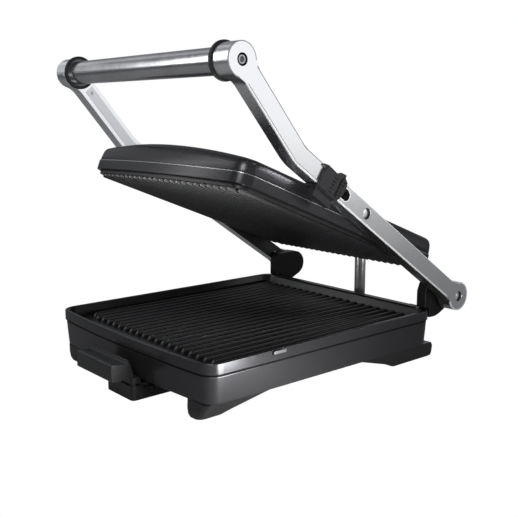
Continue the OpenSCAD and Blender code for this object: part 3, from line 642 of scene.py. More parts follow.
class ShaderGraph(NodeGraph):
    """Builds one material's node tree."""

    def __init__(self, name: str) -> None:
        """Starts a material with one Principled shader.

        Args:
            name: Name of the material.
        """
        self.material = bpy.data.materials.new(name)
        self.material.use_nodes = True
        super().__init__(self.material.node_tree)
        self.out = self.node("ShaderNodeOutputMaterial")
        self.bsdf = self.node("ShaderNodeBsdfPrincipled")
        self.feed(self.out.inputs["Surface"], self.bsdf.outputs["BSDF"])

    def math(self, kind: str, *args: "float | Signal") -> Signal:
        """Adds a maths node."""
        made = self.node("ShaderNodeMath", dict(enumerate(args)), operation=kind)
        return Signal(self, made.outputs[0])

    def place(self, scale: Point3 = (1, 1, 1)) -> Socket:
        """Places the texture in Object coordinates, in metres.

        Args:
            scale: How far it is stretched along each axis.

        Returns:
            The coordinates' socket.
        """
        coord = self.node("ShaderNodeTexCoord")
        mapped = self.node("ShaderNodeMapping", {"Vector": coord.outputs["Object"], "Scale": scale})
        return mapped.outputs["Vector"]

    def axis(self, name: str) -> Signal:
        """One Object coordinate, in millimetres."""
        split = self.node("ShaderNodeSeparateXYZ", {"Vector": self.place()})
        return Signal(self, split.outputs[name]) * 1000.0

    def noise(self, scale: float, detail: float, stretch: Point3 = (1, 1, 1)) -> Signal:
        """Noise about 0.5 in Object coordinates."""
        inputs = {"Vector": self.place(stretch), "Scale": scale, "Detail": detail}
        return Signal(self, self.node("ShaderNodeTexNoise", inputs).outputs["Fac"])

    def ramp(self, factor: Signal, stops: list[tuple[float, tuple]]) -> Socket:
        """Adds a colour ramp.

        Args:
            factor: What it runs over.
            stops: Each stop's place and colour.

        Returns:
            The colour's socket.
        """
        made = self.node("ShaderNodeValToRGB", {"Fac": factor})
        ramp = made.color_ramp
        while len(ramp.elements) < len(stops):
            ramp.elements.new(0.5)
        for element, (at, colour) in zip(ramp.elements, stops):
            element.position = at
            element.color = (*colour, 1.0)
        return made.outputs["Color"]

    def mixed(self, factor: Signal, low: tuple, high: Socket) -> Socket:
        """Colour that goes from low to high with the factor."""
        made = self.node("ShaderNodeMix", {0: factor, 6: (*low, 1.0), 7: high}, data_type="RGBA")
        return made.outputs[2]

    def bump(self, height: Signal, strength: float, distance: float) -> None:
        """Adds a bump to the shader's normal."""
        made = self.node("ShaderNodeBump", {"Height": height, "Strength": strength, "Distance": distance})
        self.feed(self.bsdf.inputs["Normal"], made.outputs["Normal"])

    def shade(self, **values: object) -> bpy.types.Material:
        """Feeds the Principled shader.

        Args:
            **values: Socket names, with underscores for blanks, and what they get.

        Returns:
            The material.
        """
        for key, value in values.items():
            self.feed(self.bsdf.inputs[key.replace("_", " ")], value)
        return self.material


MADE: dict[str, bpy.types.Material] = {}
# Colour and roughness of darkened areas: painted shade in seams, pits, slots, shaded faces and bevels, and
# the black of the lower covers and of the rings on the grip's collars and screws.
BLACK_AND_SHADE, BLACK_AND_SHADE_ROUGH = (0.004, 0.004, 0.004), 0.6
BUMP_STRENGTH = 0.35
COAT_ROUGH = 0.2


@dataclass(frozen=True)
class Finish:
    """A surface finish: a base colour that drifts a little, and its sheen."""

    name: str
    slot: str
    colour: tuple[float, float, float]
    roughness: float
    metallic: float = 0.0
    drift: float = 0.08
    grain: float = 900.0
    grain_depth: float = 0.0
    stretch: Point3 = (1.0, 1.0, 1.0)
    cloud: float = 18.0
    rough_drift: float = 0.08
    coat: float = 0.0
    specular: float = 0.5
    # colour of the painted highlight, and how far it dulls the metal there
    highlight_colour: tuple[float, float, float] = (0.34, 0.34, 0.35)
    highlight_dull: float = 0.0

    def undarkened(self, g: "ShaderGraph") -> "Signal | None":
        """Where the finish keeps its colour, as 1, and 0 where it is turned black, mostly as painted shade;
        None when nothing is darkened.
        """
        return None

    def painted_highlight(self, g: "ShaderGraph") -> "Signal | None":
        """Where a painted highlight runs through the finish, as 1; None when there is none."""
        return None

    def material(self) -> bpy.types.Material:
        """Builds the node material, once.

        Returns:
            The material.
        """
        if self.name in MADE:
            return MADE[self.name]
        g = ShaderGraph(f"look_{self.name}")
        MADE[self.name] = g.material
        cloud = g.noise(self.cloud, 3.0)
        low = tuple(max(0.0, c * (1 - self.drift)) for c in self.colour)
        high = tuple(min(1.0, c * (1 + self.drift)) for c in self.colour)
        grain = g.noise(self.grain, 2.0, self.stretch)
        rough = self.roughness + (cloud - 0.5) * self.rough_drift + (grain - 0.5) * self.rough_drift
        if self.grain_depth:
            g.bump(grain, BUMP_STRENGTH, self.grain_depth * MM)
        colour, metallic = g.ramp(cloud, [(0.3, low), (0.7, high)]), self.metallic
        # painted shade: where the mask is 0 the colour turns black and matt
        undarkened_share = self.undarkened(g)
        if undarkened_share is not None:
            colour = g.mixed(undarkened_share, BLACK_AND_SHADE, colour)
            metallic = undarkened_share * self.metallic
            rough = rough * undarkened_share + (1 - undarkened_share) * BLACK_AND_SHADE_ROUGH
        # painted highlight: where the mask is 1 the colour turns to the line colour and the metal is dulled
        line = self.painted_highlight(g)
        if line is not None:
            colour = g.mixed(1 - line, self.highlight_colour, colour)
            metallic = metallic * (1 - line * self.highlight_dull)
        return g.shade(
            Base_Color=colour,
            Roughness=rough.clamp(),
            Metallic=metallic,
            Coat_Weight=self.coat,
            Coat_Roughness=COAT_ROUGH,
            Specular_IOR_Level=self.specular,
        )


@dataclass(frozen=True)
class ShellFinish(Finish):
    """Satin coat with painted shade in the gap under the base's rim and a painted highlight along the top of
    the lid's band.
    """

    def undarkened(self, g: "ShaderGraph") -> "Signal | None":
        """0 where shade is painted into the gap under the rim, 1 elsewhere."""
        seam = S.rim_top - S.rim_h - S.seam_h / 2
        return 1 - abs(g.axis("Z") - seam).below(1.6)

    def painted_highlight(self, g: "ShaderGraph") -> "Signal | None":
        """1 along the top of the lid's band, where a highlight is painted."""
        _, height = turned(g.axis("Y") - S.pivot[0], g.axis("Z") - S.pivot[1], S.lid_tilt)
        return abs(height + (S.lid_pivot_z + 0.7)).below(0.6) * g.axis("Z").above(S.rim_top + 20)


def arm_axes(g: "ShaderGraph") -> "tuple[Signal, Signal]":
    """A point's place along an arm, from the hinge, and across it, in millimetres."""
    return turned(S.hinge_y - g.axis("Y"), g.axis("Z") - S.hinge_z, -S.arm_angle)


def squared(along: Signal, across: Signal, s: float = 0.0, p: float = 0.0) -> Signal:
    """Square of a point's distance from (s, p)."""
    return (along - s) ** 2.0 + (across - p) ** 2.0


@dataclass(frozen=True)
class RingedFinish(Finish):
    """Metal with a black ring round the grip's axis."""

    ring_r: float = 5.0

    def undarkened(self, g: "ShaderGraph") -> "Signal | None":
        """1 inside the ring, 0 on it."""
        return squared(*arm_axes(g), S.grip_s, S.grip_p).below(self.ring_r**2)


@dataclass(frozen=True)
class CastFinish(Finish):
    """Polished casting with painted shade in its recesses and on the inner faces near the hinge, and painted
    highlights and shade along its outer bevels.
    """

    def undarkened(self, g: "ShaderGraph") -> "Signal | None":
        """Masks the painted shade in the pits, the slot, the inner faces near the hinge and along some
        bevels.

        Args:
            g: Graph to build it in.

        Returns:
            0 where shade is painted black, less than 1 on the shaded bevel lines, 1 on the polished faces.
        """
        x = abs(g.axis("X"))
        along, across = arm_axes(g)
        pits = squared(along, across).below(6.6**2)
        for s, p, r in ((S.pivot_s, 0.0, 6.6), (S.grip_s, S.grip_p, 6.38)):
            pits = pits + squared(along, across, s, p).below(r**2)
        middle, half = (S.slot_s0 + S.slot_s1) / 2, (S.slot_s1 - S.slot_s0) / 2 + S.slot_r
        slot = abs(across).below(S.slot_r + 0.05) * abs(along - middle).below(half + 0.05)
        # painted shade in the pits and the slot
        inside = (pits + slot) * x.below(S.arm_x - 0.45)
        # painted shade on the inner faces near the hinge
        inner = x.below(S.arm_in + 1.2) * along.between(-20.0, S.pivot_s + 14)
        # painted shade along the dark bevel lines as well
        return (1 - (inside + inner).clamp()) * (1 - self.bevel_highlight_and_shade(g)[1] * 0.65)

    def bevel_highlight_and_shade(self, g: "ShaderGraph") -> "tuple[Signal, Signal]":
        """Masks of the painted highlights and painted shade along the bevels round the outer face.

        Args:
            g: Graph to build them in.

        Returns:
            The painted highlights, and the painted shade.
        """
        half, wide, narrow = S.arm_w / 2, 1.75, 0.65
        side = g.axis("X")
        x = abs(side)
        along, across = arm_axes(g)
        to_bar, upper = turned(along - S.grip_s, across - S.grip_p, -S.bend_a)
        lower = across + S.arm_low
        off = (lower + upper - abs(lower - upper)) / 2
        from_disc = squared(along, across)
        from_boss = squared(along, across, S.grip_s, S.grip_p)
        bar = from_disc.above((S.disc_r + 6) ** 2) * from_boss.above((S.boss_r + 6) ** 2)
        outer = x.above(S.arm_x - wide)
        low = abs(off + half).below(wide) * outer
        high = abs(off - half).below(narrow) * x.above(S.arm_x - narrow) * along.below(S.slot_s0)
        ring = from_disc.between((S.disc_r - wide) ** 2, (S.disc_r + 1) ** 2) * along.below(12.0)
        beyond = abs(along - (S.slot_s0 + S.slot_s1) / 2) - (S.slot_s1 - S.slot_s0) / 2
        slot = squared((beyond + abs(beyond)) / 2, across).below((S.slot_r + 1.1) ** 2)
        # painted highlights on the bevels, round the disc and round the slot
        bright = bar * (low + high) + ring * outer + slot * side.above(S.arm_x - narrow)
        past = along.above(S.slot_s1)
        top = abs(off - half).below(1.0) * past * from_boss.above((S.boss_r + 2) ** 2)
        crease = abs(off + half - 2.2).below(0.45) * bar * past
        boss = from_boss.between((S.boss_r - 1) ** 2, (S.boss_r + 1) ** 2) * to_bar.above(-11.0)
        bevel = x.between(S.arm_x - 0.6, S.arm_x - 0.02) * past
        corner = bevel * off.above(half - 0.5) * from_boss.above(S.boss_r**2)
        # painted shade on the bevels along the upper bar, its crease, round the boss and at the corner
        dark = x.above(S.arm_x - 1.0) * (top + crease + boss) + corner
        return bright.clamp(), dark.clamp()

    def painted_highlight(self, g: "ShaderGraph") -> "Signal | None":
        """1 on the bevels where highlights are painted."""
        return self.bevel_highlight_and_shade(g)[0]


SHELL = {
    "metallic": 0.75, "drift": 0.06, "grain": 1600, "grain_depth": 0.0015, "rough_drift": 0.03,
    "specular": 0.15,
}


class Look(Enum):
    """Finishes of the grill."""

    # the pale line colour of the casting is that of its painted highlights
    CAST = CastFinish(
        "cast_aluminium", "cast_aluminium", (0.82, 0.83, 0.84), 0.23, 1.0, 0.03, 700,
        cloud=14.0, rough_drift=0.03, highlight_colour=(0.9, 0.9, 0.9), highlight_dull=0.5,
    )
    COVER = Finish("cover_sheet", "cover_sheet", (0.72, 0.73, 0.75), 0.34, 1.0, 0.04, 1200, 0.015)
    COVER_BLACK = Finish("cover_black", "cover_sheet", BLACK_AND_SHADE, 0.42, 0.0, 0.05, 1200, 0.015)
    TUBE = Finish(
        "tube_steel", "tube_steel", (0.62, 0.62, 0.63), 0.2, 1.0, 0.12, 500, 0.012, (0.02, 1, 1), 30.0
    )
    SATIN = ShellFinish("satin_charcoal", "housing_plastic", (0.05, 0.05, 0.053), 0.26, **SHELL)
    RIM = ShellFinish("rim_coat", "rim_paint", (0.05, 0.05, 0.053), 0.24, **SHELL)
    COLLAR = RingedFinish("collar_ring", "black_plastic", (0.12, 0.12, 0.125), 0.3, 1.0, 0.03, ring_r=16.0)
    HEAD = RingedFinish("screw_head", "screw_steel", (0.5, 0.5, 0.51), 0.28, 1.0, 0.05, ring_r=4.1)
    BLACK = Finish("black_plastic", "black_plastic", (0.006, 0.006, 0.0065), 0.3, 0.0, 0.1, 2200, 0.02)
    CLIP = Finish("clip_plastic", "black_plastic", (0.011, 0.011, 0.012), 0.38, 0.0, 0.08, 2000, 0.02)
    NONSTICK = Finish("nonstick", "nonstick", (0.005, 0.005, 0.0055), 0.32, 0.0, 0.15, 1500, 0.01)
    BRACKET = Finish(
        "bracket_coat", "bracket_cast", (0.003, 0.003, 0.003), 0.5, 0.0, 0.1, 900, 0.03, specular=0.2
    )
    CHROME = Finish("pin_steel", "pin_steel", (0.82, 0.82, 0.84), 0.12, 1.0, 0.02)
    PIN = Finish("pin_head", "pin_steel", (0.9, 0.9, 0.9), 0.25, 0.5, 0.02)
    SPRING = Finish("plate_clip_steel", "pin_steel", (0.16, 0.16, 0.165), 0.38, 1.0, 0.03)
    SCREW = Finish("screw_steel", "screw_steel", (0.36, 0.36, 0.37), 0.28, 1.0, 0.05)
    RUBBER = Finish("rubber_pad", "rubber_pad", (0.01, 0.01, 0.01), 0.7, 0.0, 0.1, 900, 0.05)
    CABLE = Finish("cable_jacket", "cable_jacket", (0.2, 0.2, 0.205), 0.22, 0.0, 0.05, coat=0.9)
    SHEET = Finish("reflector_sheet", "reflector_sheet", (0.75, 0.75, 0.75), 0.3, 1.0, 0.03)
    HEATER = Finish("element_sheath", "element_sheath", (0.26, 0.24, 0.22), 0.5, 1.0, 0.12)
    BLOCK = Finish("thermostat_body", "thermostat_body", (0.42, 0.36, 0.26), 0.55)
    INSERT = Finish("insert_metal", "insert_metal", (0.65, 0.65, 0.66), 0.3, 1.0)
    BUSH = Finish("bush_plastic", "bush_plastic", (0.03, 0.03, 0.032), 0.4)


def dress(obj: Piece, look: Look, body: Body | None, *nodes: str, weighted: bool = True) -> Piece:
    """Gives a piece its finish, its body and the CAD nodes that it stands for.

    Args:
        obj: The piece.
        look: Its finish.
        body: The body it rides on; None leaves it unattached.
        *nodes: CAD nodes that it replaces.
        weighted: Flat faces keep flat shading beside their bevels.

    Returns:
        The piece.
    """
    obj.data.materials.clear()
    obj.data.materials.append(look.value.material())
    if weighted:
        mod = obj.modifiers.new("flat_faces", "WEIGHTED_NORMAL")
        mod.keep_sharp = True
    if body is not None:
        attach(obj, body.value)
    if nodes:
        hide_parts(*nodes)
    return obj


# ---- base


def pin_profile(start: float, shank: float) -> Outline:
    """Profile of a right-hand pin.

    Args:
        start: X of its inner end.
        shank: Radius of its shank.

    Returns:
        Points of (x, radius) up to the rounded head that lies in the arm's recess.
    """
    head = S.arm_x - S.pit_depth + S.gap
    face = head + 1.7
    return [(start, 0), (start, shank), (head, shank), (head, 6.2), (face - 0.4, 6.2), (face, 5.7), (face, 0)]


@dataclass
class BaseAssembly:
    """Housing, rim, lower plate, feet and hinge brackets."""

    spout: Point2 = (15, -162)
    rib_pitch: float = 13.6
    rib_half: float = 3.5
    tip_half: float = 1.9
    sole: float = 1.4

    def build(self) -> None:
        """Makes every piece of the base."""
        for step in (self.housing, self.rim, self.plate, self.feet, self.brackets, self.small_parts):
            step()

    def housing(self) -> None:
        """Drafted shell with a pierced floor."""
        f = Form()
        wall = [
            (5.5, 21.0), (4.6, 21.25), (3.9, 21.9), (3.5, 22.9), (3.3, 26), (2.4, 38), (1.55, 50.4),
            (1.6, 51.4), (1.95, 52.05), (3.0, 52.3), (3.0, 53.2), (6.5, 53.2), (6.5, 22.5),
        ]
        f.loft(rings_of(base_ring, wall), closed=True)
        vents = [14 * i for i in range(-3, 4)]
        holes = [[(x - 2.5, 40), (x + 2.5, 40), (x + 2.5, 110), (x - 2.5, 110)] for x in vents]
        holes.append(circle_points(*self.spout, 7.5, 32))
        for x, y in ((146, -150), (147, 0), (146, 148)):
            holes += [circle_points(s * x, y, 4, 20) for s in BOTH]
        f.pierced(base_ring(5.6), holes, 21.02, 24)
        dress(f.made("housing_shell"), Look.SATIN, Body.BASE, "base_housing")

    def rim(self) -> None:
        """Band round the top with its notch for the plate clip."""
        section = [
            (0.5, 53.5), (0.12, 53.62), (0, 54.0), (0, 65.0), (0.1, 65.5), (0.35, 65.85), (0.8, 66.0),
            (2.2, 66.0), (2.5, 65.7), (2.5, 57.7), (9.5, 57.7), (9.5, 53.5),
        ]
        rim = Form().loft(rings_of(base_ring, section), closed=True).made("rim_band")
        cutter = Form().box((155.6, -100.3, 61), (161, -81.7, 67)).made("notch_cutter")
        dress(carve(rim, cutter), Look.RIM, Body.BASE, "base_rim")

    def plate(self) -> None:
        """Lower cooking plate: basin, ribs, gutter, rear lip and spout."""
        steps = [
            (9.8, 0, 49.0), (9.8, 0, 58.0), (2.8, 0, 58.0), (2.8, 0, 65.3), (3.1, 0, 65.65), (3.6, 0.6, 65.7),
            (4.4, 6.8, 65.5), (5.0, 6.95, 64.4), (9.3, 7, 53.6), (10.1, 7, 52.5), (11.2, 7, 52.05),
            (13, 7, S.plate_floor),
        ]
        f = Form().loft([lift(base_ring(inset, rear), z) for inset, rear, z in steps])
        f.box((-135, S.rim_y1 - 12, 64), (135, S.rim_y1 - 7.8, 67)).round_over(0.25)
        dress(f.made("lower_plate_basin"), Look.NONSTICK, Body.BASE, "lower_plate")
        ribs = Form()
        for i in range(21):
            x = (i - 10) * self.rib_pitch
            cut = 0.0 if abs(x) < 130 else 4.0
            y0, y1 = -153.5 + cut, 161 - cut
            ends = ((0.15, y0), (0.75, y0 + 2.2), (1, y0 + 5), (1, y1 - 4), (0.75, y1 - 1.5), (0.15, y1))
            ribs.loft([self.rib_section(x, k, y) for k, y in ends])
        dress(ribs.made("lower_plate_ribs"), Look.NONSTICK, Body.BASE)
        tube = [(20.6, 4.5), (20.6, 6.5), (50, 6.5), (50, 4.5), (20.6, 4.5)]
        dress(Form().lathe(tube, self.spout, 32, "z").made("plate_spout"), Look.NONSTICK, Body.BASE)

    def rib_section(self, x: float, k: float, y: float) -> Ring:
        """Makes the section of a rounded rib.

        Args:
            x: Middle of the rib.
            k: Share of its full height.
            y: Place of the section.

        Returns:
            Its points.
        """
        root, tip = self.rib_half, self.tip_half
        left = [(-root, -0.2), (-tip - 0.5, 4.4), (-tip, 5.4), (-tip + 0.8, 5.9), (0, 6.0)]
        right = [(-px, pz) for px, pz in reversed(left[:-1])]
        return [(x + px * (0.6 + 0.4 * k), y, S.plate_floor + pz * k) for px, pz in left + right]

    def foot_plan(self, row: Point3, sides: tuple[Point2, Point2], radii: Point2) -> Ring:
        """Makes the round-cornered plan of a foot at one height.

        Args:
            row: Height, front and rear.
            sides: Inner and outer side at the top, and the same at the sole.
            radii: Corner radius at the front and at the rear.

        Returns:
            Points anticlockwise from the right rear corner.
        """
        (z, y0, y1), (r0, r1) = row, radii
        top = S.floor_z - S.gap
        k, inset = (top - z) / (top - self.sole), 1.2 if z == self.sole else 0.0
        x0, x1 = (at_top * (1 - k) + at_sole * k for at_top, at_sole in zip(*sides))
        x0, x1 = x0 + inset, x1 - inset
        corners = (
            (x1 - r1, y1 - r1, r1), (x0 + r1, y1 - r1, r1), (x0 + r0, y0 + r0, r0), (x1 - r0, y0 + r0, r0),
        )
        plan = [p for n, at in enumerate(corners) for p in circle_points(*at, 7, 90 * n, 90 * n + 90)]
        return lift(plan, z)

    def feet(self) -> None:
        """Four moulded feet and their rubber pads."""
        top, sole = S.floor_z - S.gap, self.sole
        front = [(top, -181, -85), (12, -183.5, -118.7), (6, -184, -141.5), (2.4, -182.5, -152)]
        rear = [(top, 47, 180), (19, 53, 185), (15, 67.5, 187.5), (6, 100, 187.5), (2.6, 106, 186)]
        for name, rows, sides, radii in (
            ("front", [*front, (sole, -179, -156)], ((112, 150), (118, 138)), (7.5, 2.0)),
            ("rear", [*rear, (sole, 110, 183)], ((118, 153), (123, 151)), (2.0, 5.0)),
        ):
            plans = [self.foot_plan(row, sides, radii) for row in rows]
            for sign, word in ((1, "right"), (-1, "left")):
                foot = Form().loft([[(sign * x, y, z) for x, y, z in plan] for plan in plans])
                made = foot.made(f"foot_{name}_{word}_moulding")
                dress(made, Look.BLACK, Body.BASE, f"foot_{name}_{word}")
        pads = Form()
        for x, y, r in ((127.5, -168, 6), (136, 166, 7.5), (136, 122, 7.5)):
            for s in BOTH:
                pads.lathe([(0.02, 0), (0.02, r - 0.4), (0.4, r), (1.35, r), (1.35, 0)], (s * x, y), 32, "z")
        dress(pads.made("foot_pad_set"), Look.RUBBER, Body.BASE, "foot_pads")

    def brackets(self) -> None:
        """Cast hinge brackets behind the base."""
        y, z, barrel = S.hinge_y, S.hinge_z, S.barrel_r
        neck = [
            (178.4, 53.1), (191, 53), (200, 55.5), *circle_points(y, z, barrel, 22, -70, 92),
            (y - 33, z + barrel), (y - 35.6, z + barrel - 0.8), (169.1, 88), (169.1, 66.4), (178.4, 66.4),
        ]
        sole = [(178.4, 53.1), (182.5, 53.1), (182.5, 64), (181, 65.4), (178.4, 65.4)]
        for sign, word in ((1, "right"), (-1, "left")):

            def put(p: Point3, sign: int = sign) -> Vector:
                """Mirrors a point on the left side."""
                return Vector((sign * p[0], p[1], p[2]))

            plate = Form(put).slab(sole, 117.1, 137, "yzx")
            dress(plate.made(f"bracket_{word}_foot"), Look.BRACKET, Body.BASE)
            f = Form(put).slab(neck, 136, 150.6, "yzx").round_over(1.2, 3, 30)
            dress(f.made(f"bracket_{word}"), Look.BRACKET, Body.BASE, f"hinge_bracket_{word}")

    def small_parts(self) -> None:
        """Hinge pins, washers and the plate clip."""
        hinge = (S.hinge_y, S.hinge_z)
        pins = Form().pair(pin_profile(138.9, 5), hinge)
        dress(pins.made("hinge_pin_pair"), Look.PIN, Body.BASE, "hinge_pins")
        x0, x1 = 150.9, 152.9
        ring = [(x0, 5.4), (x0, 11.7), (x0 + 0.3, 12), (x1 - 0.3, 12), (x1, 11.7), (x1, 5.4), (x0, 5.4)]
        dress(Form().pair(ring, hinge).made("hinge_washer_pair"), Look.CHROME, Body.BASE, "hinge_washers")
        tongue = [
            (156.5, 61.4), (161.0, 61.4), (161.4, 61.8), (161.4, 64.9), (161.1, 65.2), (160.6, 65.2),
            (160.4, 64.9), (160.4, 62.8), (157.8, 62.8), (157.8, 65.6), (156.5, 65.6),
        ]
        clip = Form().slab(tongue, -99.8, -82.2, "xzy")
        dress(clip.made("plate_clip_spring"), Look.SPRING, Body.BASE, "plate_clip")


# ---- arms


@dataclass
class ArmsAssembly:
    """Cast arms, their covers, pins and the grip."""

    def build(self) -> None:
        """Makes every piece that rides on the arms."""
        for place, word in ((in_arm, "right"), (in_arm_left, "left")):
            self.bar(place, word)
            self.cover(place, word)
        self.pins()
        self.grip()

    def outline(self) -> Outline:
        """Makes the arm's outline: disc, bar and boss with concave corners between them.

        Returns:
            Its points in order.
        """
        half = S.arm_w / 2
        low_h, high_h = half + S.arm_low, half - S.arm_low
        lower, upper = (self.corner(h, S.disc_r) for h in (low_h, high_h))
        at_bar = self.corner(half, S.boss_r)
        low = beside(-half, lower[-1][0], self.run_to_boss(half))
        high = beside(half, upper[-1][0], self.run_to_boss(half))

        def at_boss(points: Outline) -> Outline:
            """Maps points from the boss's own axes, which look back along the bar."""
            spots = [turned(x, -y, S.bend_a) for x, y in points]
            return [(S.grip_s - u, S.grip_p - v) for u, v in spots]

        a0, a1 = self.meets(high_h, S.disc_r), 360 - self.meets(low_h, S.disc_r)
        disc = circle_points(0, 0, S.disc_r, 44, a0, a1)
        turn = self.meets(half, S.boss_r)
        boss = circle_points(0, 0, S.boss_r, 44, -turn, turn - 360)
        return [
            *disc[1:-1],
            *[(x, -y) for x, y in lower[:-1]],
            *low,
            *at_boss([(x, -y) for x, y in reversed(at_bar[:-1])]),
            *at_boss(boss[1:-1]),
            *at_boss(at_bar[:-1]),
            *reversed(high),
            *reversed(upper[:-1]),
        ]

    @staticmethod
    def meets(h: float, r: float) -> float:
        """Angle at which a disc of radius r meets the concave corner to a bar's edge at height h."""
        return math.degrees(math.asin((h + S.fillet_r) / (r + S.fillet_r)))

    @staticmethod
    def corner(h: float, r: float) -> Outline:
        """Concave arc from a disc round the origin to a bar's edge.

        Args:
            h: Height of the bar's edge.
            r: Radius of the disc.

        Returns:
            Points from the disc to the bar.
        """
        f = S.fillet_r
        c = math.sqrt((r + f) ** 2 - (h + f) ** 2)
        a0 = math.degrees(math.atan2(-(h + f), -c)) % 360
        return circle_points(c, h + f, f, 8, a0, 270)

    @staticmethod
    def run_to_boss(half: float) -> float:
        """Works out the straight length past the bend up to the boss's concave corner.

        Args:
            half: Half the bar's width.

        Returns:
            The length.
        """
        f, r = S.fillet_r, S.boss_r
        reach = math.sqrt((r + f) ** 2 - (half + f) ** 2)
        centre, _ = turned(S.grip_s - S.bend_s, S.grip_p + S.arm_low, -S.bend_a)
        return centre - S.bend_t - reach

    def bar(self, place: Place, word: str) -> None:
        """One arm: the pierced bar, the hinge disc and the boss.

        Args:
            place: Mapping of the arm's side.
            word: "right" or "left".
        """
        out, inn, half, close = S.arm_x, S.arm_in, S.arm_w / 2, 0.01
        grip = (S.grip_s, S.grip_p)
        pits = ((0, 0, S.pit_r), (S.pivot_s, 0, S.pit_r), (*grip, 6.3))
        holes = [circle_points(*pit) for pit in pits]
        if word == "right":
            ends = ((S.slot_s1, -90, 90), (S.slot_s0, 90, 270))
            holes.append([p for s, a0, a1 in ends for p in circle_points(s, 0, S.slot_r, 18, a0, a1)])
        f = Form(place).pierced(self.outline(), holes, inn, out)

        def from_disc(p: Vector) -> float:
            """Distance outside the hinge disc."""
            return math.hypot(p.x, p.y) - S.disc_r

        def from_boss(p: Vector) -> float:
            """Distance outside the handle boss."""
            return math.hypot(p.x - grip[0], p.y - grip[1]) - S.boss_r

        def outer_low(p: Vector) -> bool:
            """On the outer face, round the disc and the boss or along the lower edge."""
            on_round = min(abs(from_disc(p)), abs(from_boss(p))) < 0.6
            return p.z > out - close and (on_round or self.beyond(p) < 0.5 - half)

        def inner_high(p: Vector) -> bool:
            """On the inner face, along the upper edge between disc and boss."""
            clear = min(from_disc(p), from_boss(p)) > 2.5
            return p.z < inn + close and clear and self.beyond(p) > half - 0.5

        def rest(p: Vector) -> bool:
            """On either face, but not where the boss goes on inwards."""
            return p.z > out - close or (p.z < inn + close and abs(from_boss(p)) > 0.6)

        f.round_over(1.7, where=outer_low)
        f.round_over(5.2, 4, where=inner_high)
        f.round_over(0.6, where=rest)
        # seats of the pins in their recesses
        z0, z1 = inn + 0.02, out - S.pit_depth
        for at, bore in (((0, 0), 5.15), ((S.pivot_s, 0), 4.15)):
            f.lathe([(z0, bore), (z0, 6.56), (z1, 6.56), (z1, bore), (z0, bore)], at, axis="z")
        # inner part of the boss, and the floor of the screw's well
        g0, well = S.grip_x, out - 5.5
        inside = [(g0, 16.7), (g0 + 0.8, 17.47), (inn, 17.47), (inn, 6.36), (well, 6.36), (well, 3.2)]
        f.lathe([(g0, 3.2), *inside, (g0, 3.2)], grip, 88, "z")
        dress(f.made(f"arm_{word}_casting"), Look.CAST, Body.ARMS, f"arm_{word}")

    @staticmethod
    def beyond(p: Vector) -> float:
        """Measures a point's distance from the arm's middle line.

        Args:
            p: The point, along and across the arm.

        Returns:
            The distance, positive upwards.
        """
        cx, cy = S.bend_s - S.bend_t, S.bend_r - S.arm_low
        if p.x <= cx:
            return p.y + S.arm_low
        along, up = turned(p.x - cx, p.y - cy, -S.bend_a)
        return S.bend_r + up if along > 0 else S.bend_r - math.hypot(p.x - cx, p.y - cy)

    def cover(self, place: Place, word: str) -> None:
        """Inset covers on the arm's inner face, with their screws.

        Args:
            place: Mapping of the arm's side.
            word: "right" or "left".
        """
        z0, z1 = S.arm_in - 0.25, S.arm_in + 1.2
        reach = S.up_len - 22
        low = [(27, -6.75), (205.9, -6.75), (205.9, 5.25), (27, 5.25)]
        high = beside(-6, 309.9, reach) + list(reversed(beside(6, 309.9, reach)))
        lower, upper = (Form(place).slab(edge, z0, z1).round_over(0.3) for edge in (low, high))
        dress(lower.made(f"arm_cover_{word}_lower"), Look.COVER_BLACK, Body.ARMS, f"arm_cover_{word}")
        dress(upper.made(f"arm_cover_{word}_upper"), Look.COVER, Body.ARMS)
        screws = Form(place)
        dx, dy = turned(S.bend_to_end - 28, 0, S.bend_a)
        z = S.arm_in - 0.5
        head = [(z + 0.4, 0), (z + 0.4, 0.9), (z, 1.1), (z + 0.1, 1.8), (z + 0.45, 2.2), (z + 0.45, 0)]
        for s, p in ((33, 0), (199.9, 0), (315.9, 0), (S.bend_s + dx, dy)):
            screws.lathe(head, (s, p - S.arm_low), 24, "z")
        nodes = ("cover_screws",) if word == "right" else ()
        dress(screws.made(f"cover_screws_{word}"), Look.SCREW, Body.ARMS, *nodes)

    def pins(self) -> None:
        """Pivot pins of the lid."""
        f = Form(in_arm).pair(pin_profile(142, 4), (S.pivot_s, 0), axis="z")
        dress(f.made("pivot_pin_pair"), Look.PIN, Body.ARMS, "pivot_pins")

    def grip(self) -> None:
        """Tube, collars and screws of the grip."""
        centre, end, bore, r = (S.grip_s, S.grip_p), S.grip_x - S.gap, 12.25, S.tube_r
        skin = [(-end, r - 0.25), (0.3 - end, r), (end - 0.3, r), (end, r - 0.25), (end, bore)]
        tube = Form(in_arm).lathe([(-end, bore), *skin, (-end, bore)], centre, 96, "z")
        dress(tube.made("grip_tube"), Look.TUBE, Body.ARMS, "handle_tube")
        ring = [(0, 19.2), (0.6, 19.8), (2.6, 19.8), (3.3, 19.3), (3.5, 18.6), (3.5, 13.85)]
        profile = [(end - depth, radius) for depth, radius in [(0, 13.85), *ring, (0, 13.85)]]
        collars = Form(in_arm).pair(profile, centre, 64, "z")
        dress(collars.made("grip_collars"), Look.COLLAR, Body.ARMS, "handle_collars")
        screws = Form(in_arm)
        head, socket, disc = (circle_points(*centre, *spec) for spec in ((4.9, 36), (3.2, 6), (4.7, 24)))
        for s in BOTH:
            screws.pierced(head, [socket], s * (S.arm_x - 5.2), s * (S.arm_x - 0.6))
            screws.slab(disc, s * (S.arm_x - 5.4), s * (S.arm_x - 4.3))
        screws.round_over(0.35)
        dress(screws.made("grip_screws"), Look.HEAD, Body.ARMS, "handle_screws")


# ---- lid


